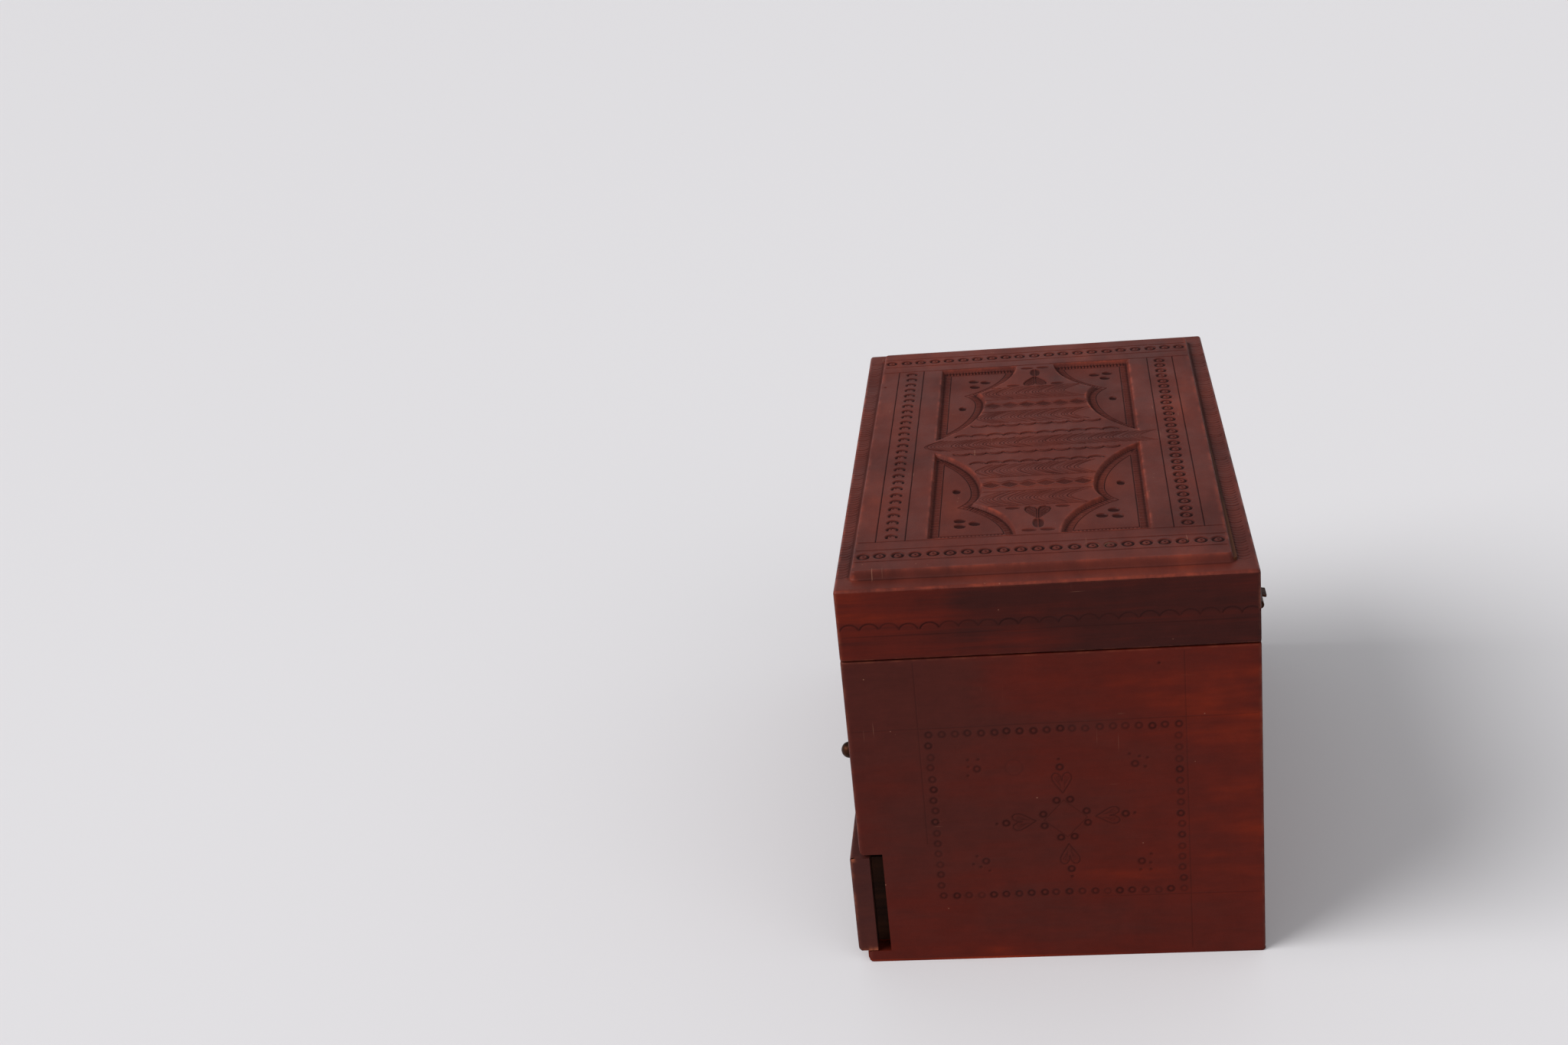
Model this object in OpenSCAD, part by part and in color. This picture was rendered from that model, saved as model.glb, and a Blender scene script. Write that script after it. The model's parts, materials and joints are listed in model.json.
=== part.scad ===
// Jewelry box of wooden boards covered in tooled leather, with a hinged lid and one drawer
// X runs along the box, the front is at -Y, Z is up, and the origin is the middle of the base

/* [Case] */
// Length of the box over the leather
case_l = 330; // [316:1:420]
// Depth of the box over the leather
case_w = 200; // [190:1:260]
// Height of the case up to the joint with the lid
case_h = 172.5; // [140:0.5:240]
// Thickness of the boards of case and lid walls
board_t = 8; // [7:0.5:10]
// Thickness of the bottom board
bottom_t = 4; // [3:0.5:8]
// Thickness of the shelf between well and drawer
shelf_t = 4; // [3:0.5:8]
// Thickness of the leather cover
leather_t = 1.2; // [0.8:0.1:1.6]
// Depth of the rabbets at the corners
rabbet_d = 4; // [2:0.5:5]
// Depth of the dado that holds the shelf
dado_d = 3; // [1.5:0.5:5]
// Radius of the upright edges
corner_r = 2; // [1.5:0.1:3]
// Radius of the long edges under the box
base_r = 3; // [1.5:0.1:3.4]

/* [Notch for the drawer front] */
// Height of the notch
notch_h = 57.6; // [45:0.1:75]
// Depth of the notch from the front
notch_d = 11.5; // [11.2:0.1:15]
// Radius of the notch's rounded corners
notch_r = 1.5; // [0.8:0.1:2.5]
// Radius of the notch's inner corner at the sill
sill_r = 0.5; // [0.3:0.1:0.5]

/* [Lid] */
// Height of the lid from the joint to the ledge round the panel
lid_h = 37.6; // [30:0.1:60]
// Gap between case and lid
lid_gap = 0.4; // [0.3:0.05:1]
// Thickness of the lid's top board
lid_top_t = 5; // [4:0.5:8]
// Radius of the long edges round the top of the lid
lid_edge_r = 1.8; // [1:0.1:2]
// Height of the raised panel above the ledge
panel_rise = 2.6; // [1.6:0.1:5]
// Ledge at the ends of the raised panel
ledge_l = 11; // [6:0.5:16]
// Ledge along the front and back of the raised panel
ledge_w = 9; // [6:0.5:14]
// Radius of the panel's upper edges
panel_edge_r = 1.2; // [0.6:0.1:1.5]
// Radius of the panel's corners seen from above
panel_corner_r = 3; // [1.5:0.1:6]

/* [Ogee windows in the panel] */
// Band between the panel's end and the windows
band_l = 34.5; // [26:0.5:40]
// Band between the panel's front or back and the windows
band_w = 36; // [26:0.5:36]
// Length of a window from its outer end to its tip
window_l = 109; // [90:0.5:110]
// Width of a window at its outer end
window_w = 44; // [40:0.5:46]
// Distance of the long sweep's low point from the outer end
sweep_x = 55.5; // [50:0.5:60]
// Width of the window at that low point
sweep_w = 26.5; // [22:0.5:30]
// Radius of the curl between sweep and cusp
curl_r = 27; // [24:0.5:32]
// Radius of the lobe next to the outer end
lobe_r = 53; // [48:0.5:60]
// How far the lobe's centre lies past the outer end
lobe_out = 1.5; // [0:0.1:3]

/* [Drawer] */
// Height of the drawer front
drawer_front_h = 55.1; // [40:0.1:56]
// Thickness of the drawer front with its leather
drawer_front_t = 10; // [8:0.1:10.5]
// How far the drawer stands open
drawer_ajar = 6; // [0:0.5:20]
// Gap between the closed drawer front and the back of the notch
drawer_stop_gap = 0.1; // [0.05:0.05:0.5]
// Gap under the drawer front
drawer_front_gap = 0.5; // [0.3:0.1:1]
// Gap under the sliding drawer
slide_gap = 0.3; // [0.1:0.05:0.5]
// Gap between a drawer side and the case
drawer_side_gap = 0.6; // [0.3:0.1:1.5]
// Gap behind the closed drawer
drawer_back_gap = 2; // [1:0.5:10]
// Height of the drawer sides
drawer_side_h = 50; // [35:0.5:54]
// Thickness of the drawer sides and back
drawer_side_t = 6; // [5:0.5:8]
// Thickness of the drawer's bottom board
drawer_bottom_t = 3; // [2:0.5:5]
// Height of the bottom board's groove above the lower edge
groove_rise = 3; // [2:0.5:8]
// Depth of the grooves and rabbets in the drawer
groove_d = 3; // [1.5:0.5:4]
// Shoulder above and below the tenons of the drawer sides
tenon_shoulder = 5.5; // [3:0.5:10]

/* [Knob] */
// Height of the knob above the lower edge of the drawer front
knob_rise = 23; // [14:0.5:32]
// Reach of the knob from the drawer front
knob_reach = 18; // [14:0.5:24]
// Radius of the knob's head
knob_head_r = 4.75; // [3.5:0.05:6]
// Radius of the knob's foot
knob_foot_r = 3.6; // [3:0.1:5]
// Height of the knob's foot
knob_foot_h = 1.4; // [0.8:0.1:2.4]
// Radius of the knob's neck
knob_neck_r = 2.3; // [2.1:0.1:2.8]
// Height at which the stem has narrowed to the neck
knob_stem_h = 4; // [3:0.1:6]
// Radius of the bead round the neck
knob_bead_r = 0.9; // [0.6:0.05:1.1]
// Radius of the rosette under the knob
rosette_r = 7.5; // [5:0.1:10]
// Thickness of the rosette
rosette_t = 1.2; // [0.8:0.1:2]
// Radius of the knob's screw
knob_screw_r = 1.5; // [1:0.1:1.8]
// Radius of the head of the knob's screw
knob_screw_head_r = 3; // [2.5:0.1:4]
// Depth of the screw's thread in the knob
knob_screw_d = 8; // [5:0.5:10]
// Width of the slot in the head of the knob's screw
knob_slot_w = 0.8; // [0.5:0.1:1.2]
// Depth of the slot in the head of the knob's screw
knob_slot_d = 0.6; // [0.4:0.1:1]

/* [Hinges] */
// Distance of each hinge's middle from the end of the box
hinge_inset = 55; // [35:0.5:90]
// Length of a hinge along its pin
hinge_l = 30; // [24:0.5:40]
// Width of a leaf from the pin to its inner edge
leaf_w = 11; // [9:0.1:11.5]
// Thickness of a leaf
leaf_t = 1.2; // [0.8:0.1:1.6]
// Distance of the pin behind the back of the box
hinge_out = 2.6; // [2.4:0.1:3.5]
// Radius of a knuckle
knuckle_r = 2.2; // [1.8:0.1:2.3]
// Gap between neighbouring knuckles
knuckle_gap = 0.3; // [0.1:0.05:0.5]
// Radius of a hinge pin
pin_r = 1; // [0.7:0.05:1.2]
// Clearance round a hinge pin
pin_clear = 0.05; // [0.02:0.01:0.08]
// Radius of the heads of a hinge pin
pin_head_r = 1.6; // [1.3:0.1:2]
// Thickness of the heads of a hinge pin
pin_head_t = 0.5; // [0.3:0.1:1]
// Radius of the flat on the heads of a hinge pin
pin_flat_r = 1.1; // [0.7:0.1:1.3]
// Clearance round a leaf in its mortise
mortise_gap = 0.1; // [0:0.05:0.3]
// Length of the stop lug from the pin
lug_l = 4.5; // [4:0.1:6]
// Thickness of the stop lug
lug_t = 1.2; // [0.8:0.1:1.6]
// Distance of the lug from the ends of its knuckle
lug_inset = 0.8; // [0.4:0.1:2]
// Gap left between lug and case where the lid stops
lug_gap = 0.15; // [0.05:0.05:0.4]
// Angle at which the lid stops
lid_stop = 105; // [95:1:120]
// Radius of a hinge screw
screw_r = 0.9; // [0.7:0.05:1.2]
// Radius of a hinge screw's head
screw_head_r = 1.9; // [1.5:0.1:2.2]
// Length of a hinge screw
screw_l = 9; // [6:0.5:12]
// Width of a hinge screw's slot
slot_w = 0.5; // [0.3:0.05:0.7]
// Depth of a hinge screw's slot
slot_d = 0.4; // [0.2:0.05:0.6]
// Distance between the two screws of a leaf
screw_pitch = 19; // [14:0.5:22]
// Distance of the screws from a leaf's inner edge
screw_inset = 4; // [3:0.1:5]
// Clearance round every screw
screw_clear = 0.05; // [0.02:0.01:0.1]

/* [Linings and mirror] */
// Thickness of the velvet on its card
lining_t = 1.2; // [0.8:0.1:2]
// Thickness of the floor pads
pad_t = 2.5; // [1.5:0.5:5]
// Gap round the floor pads
pad_gap = 0.3; // [0.2:0.1:1]
// Radius of the floor pads' corners
pad_corner_r = 1; // [0.5:0.1:3]
// Drop of the linings below the rims
lining_drop = 1.5; // [1.4:0.1:4]
// Length of the mirror
mirror_l = 236; // [120:1:260]
// Width of the mirror
mirror_w = 116; // [60:1:130]
// Thickness of the mirror
mirror_t = 2; // [1.5:0.1:3]
// Width of the mirror frame's moulding
frame_w = 10; // [6:0.5:12]
// Height of the mirror frame's moulding
frame_t = 4.5; // [4:0.1:8]
// Overlap of the frame on the mirror
frame_lap = 3; // [2:0.5:4]
// Clearance round the mirror in its frame
mirror_gap = 0.2; // [0.1:0.05:0.5]

/* [Hidden] */
$fn = 48;
over = 1;
half_l = case_l / 2;
half_w = case_w / 2;
board_x = half_l - leather_t;
board_y = half_w - leather_t;
inner_x = board_x - board_t;
inner_y = board_y - board_t;
rabbet_x = inner_x + rabbet_d;
dado_x = inner_x + dado_d;

bottom_z = leather_t;
bay_board_z = bottom_z + bottom_t;
sill_z = bay_board_z + leather_t;
bay_top_z = sill_z + notch_h;
shelf_z = bay_top_z + leather_t;
well_z = shelf_z + shelf_t;
rim_z = case_h - leather_t;
notch_y = -half_w + notch_d;

lid_z = case_h + lid_gap;
rail_z = lid_z + leather_t;
ledge_z = lid_z + lid_h;
top_board_z = ledge_z - leather_t - lid_top_t;
panel_board_z = ledge_z - leather_t;
panel_z = ledge_z + panel_rise;
panel_x = half_l - ledge_l;
panel_y = half_w - ledge_w;
window_x = panel_x - band_l;
window_y = panel_y - band_w;
// The long sweep runs through the window's tip and its own low point
sweep_run = window_l - sweep_x;
sweep_r = (sweep_run * sweep_run + sweep_w * sweep_w) / (2 * sweep_w);

drawer_back_y = notch_y - drawer_stop_gap;
drawer_face_y = drawer_back_y - drawer_front_t;
drawer_board_y = drawer_face_y + leather_t;
drawer_front_z = sill_z + drawer_front_gap;
drawer_front_top = drawer_front_z + drawer_front_h;
drawer_z = sill_z + slide_gap;
drawer_top_z = drawer_z + drawer_side_h;
drawer_x = inner_x - drawer_side_gap;
drawer_inner_x = drawer_x - drawer_side_t;
drawer_end_y = inner_y - drawer_back_gap;
drawer_inner_y = drawer_end_y - drawer_side_t;
drawer_floor_z = drawer_z + groove_rise;
drawer_pad_z = drawer_floor_z + drawer_bottom_t;
knob_z = drawer_front_z + knob_rise;
drawer_rest = [0, -drawer_ajar, 0];

hinge_xs = [-half_l + hinge_inset, half_l - hinge_inset];
hinge_y = half_w + hinge_out;
hinge_z = case_h + lid_gap / 2;
leaf_y = hinge_y - leaf_w;
knuckle_l = (hinge_l - 2 * knuckle_gap) / 3;
bore_r = pin_r + pin_clear;
sweep_clear_r = knuckle_r + knuckle_gap;
lug_half = lug_t / 2;
lug_reach = hinge_out - lug_gap;
// Angle past upright at which the lug's corner meets the back of the case
lug_past = asin(lug_reach / norm([lug_l, lug_half])) - atan(lug_half / lug_l);
lug_angle = lid_stop - 90 - lug_past;
screw_head_h = screw_head_r - screw_r;
knob_head_h = knob_screw_head_r - knob_screw_r;

ceiling_z = top_board_z - lining_t;
frame_z = ceiling_z - frame_t;
mirror_z = ceiling_z - mirror_t;
frame_x = mirror_l / 2 - frame_lap + frame_w;
frame_y = mirror_w / 2 - frame_lap + frame_w;
lining_top_z = case_h - lining_drop;

leather_colour = [0.35, 0.13, 0.11];
tooled_colour = [0.41, 0.22, 0.2];
wood_colour = [0.55, 0.38, 0.24];
velvet_colour = [0.33, 0.05, 0.08];
brass_colour = [0.62, 0.48, 0.25];
mirror_colour = [0.8, 0.83, 0.85];

// Box from its lowest to its highest corner
module block(low, high) {
    translate(low) cube(high - low);
}

// Box with both halves the same about the middle of X
module centred(x, y0, y1, z0, z1) {
    block([-x, y0, z0], [x, y1, z1]);
}

// Outline in Y and Z drawn out along X
module along_x(x0, x1) {
    translate([x0, 0, 0]) rotate([90, 0, 90]) linear_extrude(x1 - x0) children();
}

// Outline in X and Z drawn out along Y
module along_y(y0, y1) {
    translate([0, y1, 0]) rotate([90, 0, 0]) linear_extrude(y1 - y0) children();
}

// The sliver between a square corner and its rounding, for a corner that opens towards (dx, dy)
module corner_sliver(x, y, dx, dy, r) {
    translate([x, y]) difference() {
        translate([min(0, dx * r), min(0, dy * r)]) square(r);
        translate([dx * r, dy * r]) circle(r);
    }
}

// Rectangle about the middle with round corners
module round_plan(x, y, r) {
    difference() {
        translate([-x, -y]) square([2 * x, 2 * y]);
        for (sx = [-1, 1], sy = [-1, 1]) corner_sliver(sx * x, sy * y, -sx, -sy, r);
    }
}

// Upright outline with its two upper corners rounded
module round_top(half, z0, z1, r) {
    difference() {
        translate([-half, z0]) square([2 * half, z1 - z0]);
        for (s = [-1, 1]) corner_sliver(s * half, z1, -s, -1, r);
    }
}

// Outer form of the case with every edge rounded
module case_form() {
    intersection() {
        linear_extrude(case_h) round_plan(half_l, half_w, corner_r);
        along_x(-half_l, half_l) difference() {
            translate([-half_w, 0]) square([case_w, case_h]);
            for (s = [-1, 1]) corner_sliver(s * half_w, 0, -s, 1, base_r);
            corner_sliver(-half_w, sill_z, 1, -1, notch_r);
            corner_sliver(-half_w, bay_top_z, 1, 1, notch_r);
        }
    }
}

// Outer form of the lid up to its ledge
module lid_form() {
    intersection() {
        translate([0, 0, lid_z]) linear_extrude(lid_h) round_plan(half_l, half_w, corner_r);
        along_x(-half_l, half_l) round_top(half_w, lid_z, ledge_z, lid_edge_r);
        along_y(-half_w, half_w) round_top(half_l, lid_z, ledge_z, lid_edge_r);
    }
}

// Notch for the drawer front seen from the end, larger by grow on its closed sides
module notch_outline(grow) {
    y = notch_y + grow;
    low = sill_z - grow;
    high = bay_top_z + grow;
    difference() {
        translate([-half_w - over, low]) square([y + half_w + over, high - low]);
        corner_sliver(y, low, -1, 1, sill_r + grow);
        corner_sliver(y, high, -1, -1, notch_r + grow);
    }
}

// Side board of the case at the right end
module end_board() {
    difference() {
        along_x(inner_x, board_x) difference() {
            translate([-board_y, bottom_z]) square([2 * board_y, rim_z - bottom_z]);
            notch_outline(leather_t);
        }
        block([inner_x - over, -board_y - over, bottom_z - over], [rabbet_x, board_y + over, bay_board_z]);
        block([inner_x - over, inner_y, bay_board_z - over], [rabbet_x, board_y + over, rim_z + over]);
        block([inner_x - over, -board_y - over, shelf_z], [rabbet_x, -inner_y, rim_z + over]);
        block([inner_x - over, -inner_y - over, shelf_z], [dado_x, inner_y + over, well_z]);
    }
}

// Leather of the right end with its turned edges on the rim and in the notch
module end_leather() {
    intersection() {
        case_form();
        union() {
            along_x(board_x, half_l) difference() {
                translate([-half_w, bottom_z]) square([case_w, case_h - bottom_z]);
                notch_outline(0);
            }
            block([inner_x, -board_y, rim_z], [board_x + leather_t / 2, board_y, case_h]);
            intersection() {
                along_x(inner_x, board_x + leather_t / 2) difference() {
                    notch_outline(leather_t);
                    notch_outline(0);
                }
                centred(half_l, -board_y, board_y, 0, case_h);
            }
        }
    }
}

// Mortises of the hinge leaves in whatever lies at the joint
module hinge_mortises() {
    for (x = hinge_xs)
        block([x - hinge_l / 2 - mortise_gap, leaf_y - mortise_gap, case_h - leaf_t],
              [x + hinge_l / 2 + mortise_gap, hinge_y, lid_z + leaf_t]);
}

// Places of the hinge screws, with the head's face at the origin and the tip down
module at_case_screws() {
    for (x = hinge_xs, s = [-1, 1])
        translate([x + s * screw_pitch / 2, leaf_y + screw_inset, case_h]) children();
}

module at_lid_screws() {
    for (x = hinge_xs, s = [-1, 1])
        translate([x + s * screw_pitch / 2, leaf_y + screw_inset, lid_z]) mirror([0, 0, 1]) children();
}

// Countersunk screw, larger by grow for the hole that takes it
module wood_screw(grow) {
    translate([0, 0, -screw_head_h]) cylinder(h = screw_head_h, r1 = screw_r + grow, r2 = screw_head_r + grow);
    translate([0, 0, -screw_l - grow]) cylinder(h = screw_l + grow, r = screw_r + grow);
}

module slotted_screw() {
    difference() {
        wood_screw(0);
        translate([-screw_head_r, -slot_w / 2, -slot_d]) cube([2 * screw_head_r, slot_w, slot_d + over]);
    }
}

// Knuckle along X, counted from the left end of its hinge
module knuckle(x, place) {
    translate([x - hinge_l / 2 + place * (knuckle_l + knuckle_gap), hinge_y, hinge_z])
        rotate([0, 90, 0]) cylinder(h = knuckle_l, r = knuckle_r);
}

// Room that a leaf leaves for the other leaf's knuckle
module knuckle_room(x, place) {
    translate([x - hinge_l / 2 + place * (knuckle_l + knuckle_gap) - knuckle_gap, hinge_y, hinge_z])
        rotate([0, 90, 0]) cylinder(h = knuckle_l + 2 * knuckle_gap, r = sweep_clear_r);
}

module hinge_bore(x) {
    translate([x - hinge_l / 2 - over, hinge_y, hinge_z])
        rotate([0, 90, 0]) cylinder(h = hinge_l + 2 * over, r = bore_r);
}

module bottom_board() {
    color(wood_colour) centred(rabbet_x, -board_y, board_y, bottom_z, bay_board_z);
}

module right_side_board() {
    color(wood_colour) end_board();
}

module left_side_board() {
    color(wood_colour) mirror([1, 0, 0]) end_board();
}

module front_board() {
    color(wood_colour) centred(rabbet_x, -board_y, -inner_y, shelf_z, rim_z);
}

module back_board() {
    color(wood_colour) difference() {
        centred(rabbet_x, inner_y, board_y, bay_board_z, rim_z);
        hinge_mortises();
        at_case_screws() wood_screw(screw_clear);
    }
}

module shelf_board() {
    color(wood_colour) centred(dado_x, -inner_y, inner_y, shelf_z, well_z);
}

module base_leather() {
    color(leather_colour) intersection() {
        case_form();
        centred(half_l, -half_w, half_w, 0, bottom_z);
    }
}

// Floor of the drawer bay, turned down over the front edge of the bottom board
module drawer_bay_leather() {
    color(leather_colour) intersection() {
        case_form();
        union() {
            centred(inner_x, -board_y, inner_y, bay_board_z, sill_z);
            centred(board_x, -half_w, -board_y, bottom_z, sill_z);
        }
    }
}

module right_side_leather() {
    color(leather_colour) end_leather();
}

module left_side_leather() {
    color(leather_colour) mirror([1, 0, 0]) end_leather();
}

// Front leather, turned over the rim and under the front board
module front_leather() {
    color(leather_colour) intersection() {
        case_form();
        union() {
            centred(board_x, -half_w, -board_y, bay_top_z, case_h);
            centred(inner_x, -board_y, -inner_y, rim_z, case_h);
            centred(inner_x, -board_y, -inner_y, bay_top_z, shelf_z);
        }
    }
}

module back_leather() {
    color(leather_colour) difference() {
        intersection() {
            case_form();
            union() {
                centred(board_x, board_y, half_w, bottom_z, case_h);
                centred(inner_x, inner_y, board_y, rim_z, case_h);
            }
        }
        hinge_mortises();
    }
}

module well_floor_pad() {
    x = inner_x - lining_t - pad_gap;
    y = inner_y - lining_t - pad_gap;
    color(velvet_colour) translate([0, 0, well_z]) linear_extrude(pad_t) round_plan(x, y, pad_corner_r);
}

module well_right_lining() {
    color(velvet_colour) block([inner_x - lining_t, -inner_y, well_z], [inner_x, inner_y, lining_top_z]);
}

module well_left_lining() {
    mirror([1, 0, 0]) well_right_lining();
}

module well_back_lining() {
    color(velvet_colour) centred(inner_x - lining_t, inner_y - lining_t, inner_y, well_z, lining_top_z);
}

module well_front_lining() {
    mirror([0, 1, 0]) well_back_lining();
}

// Lower leaves with the outer knuckles of each hinge
module hinge_case_leaves() {
    color(brass_colour) for (x = hinge_xs) difference() {
        union() {
            difference() {
                block([x - hinge_l / 2, leaf_y, case_h - leaf_t], [x + hinge_l / 2, hinge_y, case_h]);
                knuckle_room(x, 1);
            }
            knuckle(x, 0);
            knuckle(x, 2);
        }
        hinge_bore(x);
        at_case_screws() wood_screw(screw_clear);
    }
}

module hinge_pins() {
    color(brass_colour) for (x = hinge_xs) translate([x, hinge_y, hinge_z]) rotate([0, 90, 0]) {
        translate([0, 0, -hinge_l / 2]) cylinder(h = hinge_l, r = pin_r);
        for (s = [0, 1]) mirror([0, 0, s]) translate([0, 0, hinge_l / 2])
            cylinder(h = pin_head_t, r1 = pin_head_r, r2 = pin_flat_r);
    }
}

module hinge_case_screws() {
    color(brass_colour) at_case_screws() slotted_screw();
}

// Rail at the right end of the lid, rabbeted for the front and back rails
module end_rail() {
    difference() {
        block([inner_x, -board_y, rail_z], [board_x, board_y, top_board_z]);
        for (s = [0, 1]) mirror([0, s, 0])
            block([inner_x - over, inner_y, rail_z - over], [rabbet_x, board_y + over, top_board_z + over]);
    }
}

module lid_front_rail() {
    color(wood_colour) centred(rabbet_x, -board_y, -inner_y, rail_z, top_board_z);
}

module lid_back_rail() {
    color(wood_colour) difference() {
        centred(rabbet_x, inner_y, board_y, rail_z, top_board_z);
        hinge_mortises();
        at_lid_screws() wood_screw(screw_clear);
    }
}

module lid_right_rail() {
    color(wood_colour) end_rail();
}

module lid_left_rail() {
    color(wood_colour) mirror([1, 0, 0]) end_rail();
}

module lid_top_board() {
    color(wood_colour) centred(board_x, -board_y, board_y, top_board_z, panel_board_z);
}

// One ogee window at the far right of the panel, larger by grow all round
module window_outline(grow) {
    low_x = window_x - sweep_x;
    low_y = window_y - sweep_w;
    intersection() {
        translate([low_x - sweep_r, low_y - window_w])
            square([window_x + grow - low_x + sweep_r, window_y + grow - low_y + window_w]);
        union() {
            intersection() {
                translate([low_x, low_y + sweep_r]) circle(sweep_r + grow);
                translate([low_x - 2 * sweep_r, low_y - sweep_r]) square([2 * sweep_r, 4 * sweep_r]);
            }
            translate([low_x, low_y + curl_r]) circle(curl_r + grow);
            translate([window_x + lobe_out, window_y - window_w + lobe_r]) circle(lobe_r + grow);
        }
    }
}

module four_windows(grow) {
    for (sx = [0, 1], sy = [0, 1]) mirror([sx, 0]) mirror([0, sy]) window_outline(grow);
}

// Raised fretwork under the top leather
module lid_panel_board() {
    color(wood_colour) translate([0, 0, panel_board_z]) linear_extrude(panel_rise) difference() {
        round_plan(panel_x - leather_t, panel_y - leather_t, panel_corner_r - leather_t);
        four_windows(leather_t);
    }
}

// Top leather, drawn over the raised panel and down into its windows
module lid_top_leather() {
    color(tooled_colour) difference() {
        union() {
            intersection() {
                lid_form();
                centred(half_l, -half_w, half_w, panel_board_z, ledge_z);
            }
            intersection() {
                translate([0, 0, panel_board_z]) linear_extrude(panel_z - panel_board_z)
                    round_plan(panel_x, panel_y, panel_corner_r);
                along_x(-half_l, half_l) round_top(panel_y, panel_board_z, panel_z, panel_edge_r);
                along_y(-half_w, half_w) round_top(panel_x, panel_board_z, panel_z, panel_edge_r);
            }
        }
        translate([0, 0, ledge_z]) linear_extrude(panel_rise + over) four_windows(0);
        translate([0, 0, panel_board_z - over]) linear_extrude(panel_rise + over) difference() {
            round_plan(panel_x - leather_t, panel_y - leather_t, panel_corner_r - leather_t);
            four_windows(leather_t);
        }
    }
}

module lid_back_leather() {
    color(leather_colour) difference() {
        intersection() {
            lid_form();
            union() {
                centred(board_x, board_y, half_w, lid_z, panel_board_z);
                centred(inner_x, inner_y, board_y, lid_z, rail_z);
            }
        }
        hinge_mortises();
    }
}

module lid_front_leather() {
    color(leather_colour) intersection() {
        lid_form();
        union() {
            centred(board_x, -half_w, -board_y, lid_z, panel_board_z);
            centred(inner_x, -board_y, -inner_y, lid_z, rail_z);
        }
    }
}

module lid_right_leather() {
    color(leather_colour) intersection() {
        lid_form();
        union() {
            block([board_x, -half_w, lid_z], [half_l, half_w, panel_board_z]);
            block([inner_x, -board_y, lid_z], [board_x, board_y, rail_z]);
        }
    }
}

module lid_left_leather() {
    mirror([1, 0, 0]) lid_right_leather();
}

module lid_ceiling_lining() {
    color(velvet_colour) centred(inner_x, -inner_y, inner_y, ceiling_z, top_board_z);
}

module lid_wall_lining() {
    color(velvet_colour) difference() {
        centred(inner_x, -inner_y, inner_y, lid_z + lining_drop, ceiling_z);
        centred(inner_x - lining_t, lining_t - inner_y, inner_y - lining_t, lid_z, top_board_z);
    }
}

module lid_mirror() {
    color(mirror_colour) centred(mirror_l / 2, -mirror_w / 2, mirror_w / 2, mirror_z, ceiling_z);
}

module lid_mirror_frame() {
    x = mirror_l / 2 + mirror_gap;
    y = mirror_w / 2 + mirror_gap;
    color(wood_colour) difference() {
        centred(frame_x, -frame_y, frame_y, frame_z, ceiling_z);
        centred(frame_x - frame_w, frame_w - frame_y, frame_y - frame_w, frame_z - over, ceiling_z + over);
        centred(x, -y, y, mirror_z, ceiling_z + over);
    }
}

// Upper leaves with the middle knuckle and the lug that stops the lid
module hinge_lid_leaves() {
    color(brass_colour) for (x = hinge_xs) difference() {
        union() {
            difference() {
                block([x - hinge_l / 2, leaf_y, lid_z], [x + hinge_l / 2, hinge_y, lid_z + leaf_t]);
                knuckle_room(x, 0);
                knuckle_room(x, 2);
            }
            knuckle(x, 1);
            translate([x, hinge_y, hinge_z]) rotate([lug_angle, 0, 0])
                centred(knuckle_l / 2 - lug_inset, 0, lug_l, -lug_half, lug_half);
        }
        hinge_bore(x);
        at_lid_screws() wood_screw(screw_clear);
    }
}

module hinge_lid_screws() {
    color(brass_colour) at_lid_screws() slotted_screw();
}

// Knob screw from inside the drawer, larger by grow for the holes that take it
module knob_screw(grow) {
    length = drawer_front_t + rosette_t + knob_screw_d;
    translate([0, drawer_back_y, knob_z]) rotate([90, 0, 0]) {
        cylinder(h = knob_head_h, r1 = knob_screw_head_r + grow, r2 = knob_screw_r + grow);
        cylinder(h = length + grow, r = knob_screw_r + grow);
    }
}

// Bottom board of the drawer, which its grooves take
module drawer_bottom_form() {
    centred(drawer_inner_x + groove_d, drawer_back_y - groove_d, drawer_inner_y + groove_d,
            drawer_floor_z, drawer_pad_z);
}

// Right side of the drawer with its tenon in the front board
module drawer_side_form() {
    difference() {
        union() {
            block([drawer_inner_x, drawer_back_y, drawer_z], [drawer_x, drawer_end_y, drawer_top_z]);
            block([drawer_inner_x, drawer_back_y - groove_d, drawer_z + tenon_shoulder],
                  [drawer_x, drawer_back_y, drawer_top_z - tenon_shoulder]);
        }
        drawer_bottom_form();
        block([drawer_inner_x - over, drawer_inner_y, drawer_z - over],
              [drawer_inner_x + groove_d, drawer_end_y + over, drawer_top_z + over]);
    }
}

module drawer_front_board() {
    x = half_l - leather_t;
    color(wood_colour) translate(drawer_rest) difference() {
        centred(x, drawer_board_y, drawer_back_y, drawer_front_z + leather_t, drawer_front_top - leather_t);
        drawer_bottom_form();
        for (s = [0, 1]) mirror([s, 0, 0]) drawer_side_form();
        knob_screw(screw_clear);
    }
}

// Leather over the drawer front and round its edges
module drawer_front_leather() {
    color(leather_colour) translate(drawer_rest) difference() {
        intersection() {
            centred(half_l, drawer_face_y, drawer_back_y, drawer_front_z, drawer_front_top);
            along_x(-half_l, half_l) difference() {
                translate([drawer_face_y, drawer_front_z]) square([drawer_front_t, drawer_front_h]);
                corner_sliver(drawer_face_y, drawer_front_z, 1, 1, notch_r);
                corner_sliver(drawer_face_y, drawer_front_top, 1, -1, notch_r);
            }
        }
        centred(half_l - leather_t, drawer_board_y, drawer_back_y + over,
                drawer_front_z + leather_t, drawer_front_top - leather_t);
        knob_screw(screw_clear);
    }
}

module drawer_right_side() {
    color(wood_colour) translate(drawer_rest) drawer_side_form();
}

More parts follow.
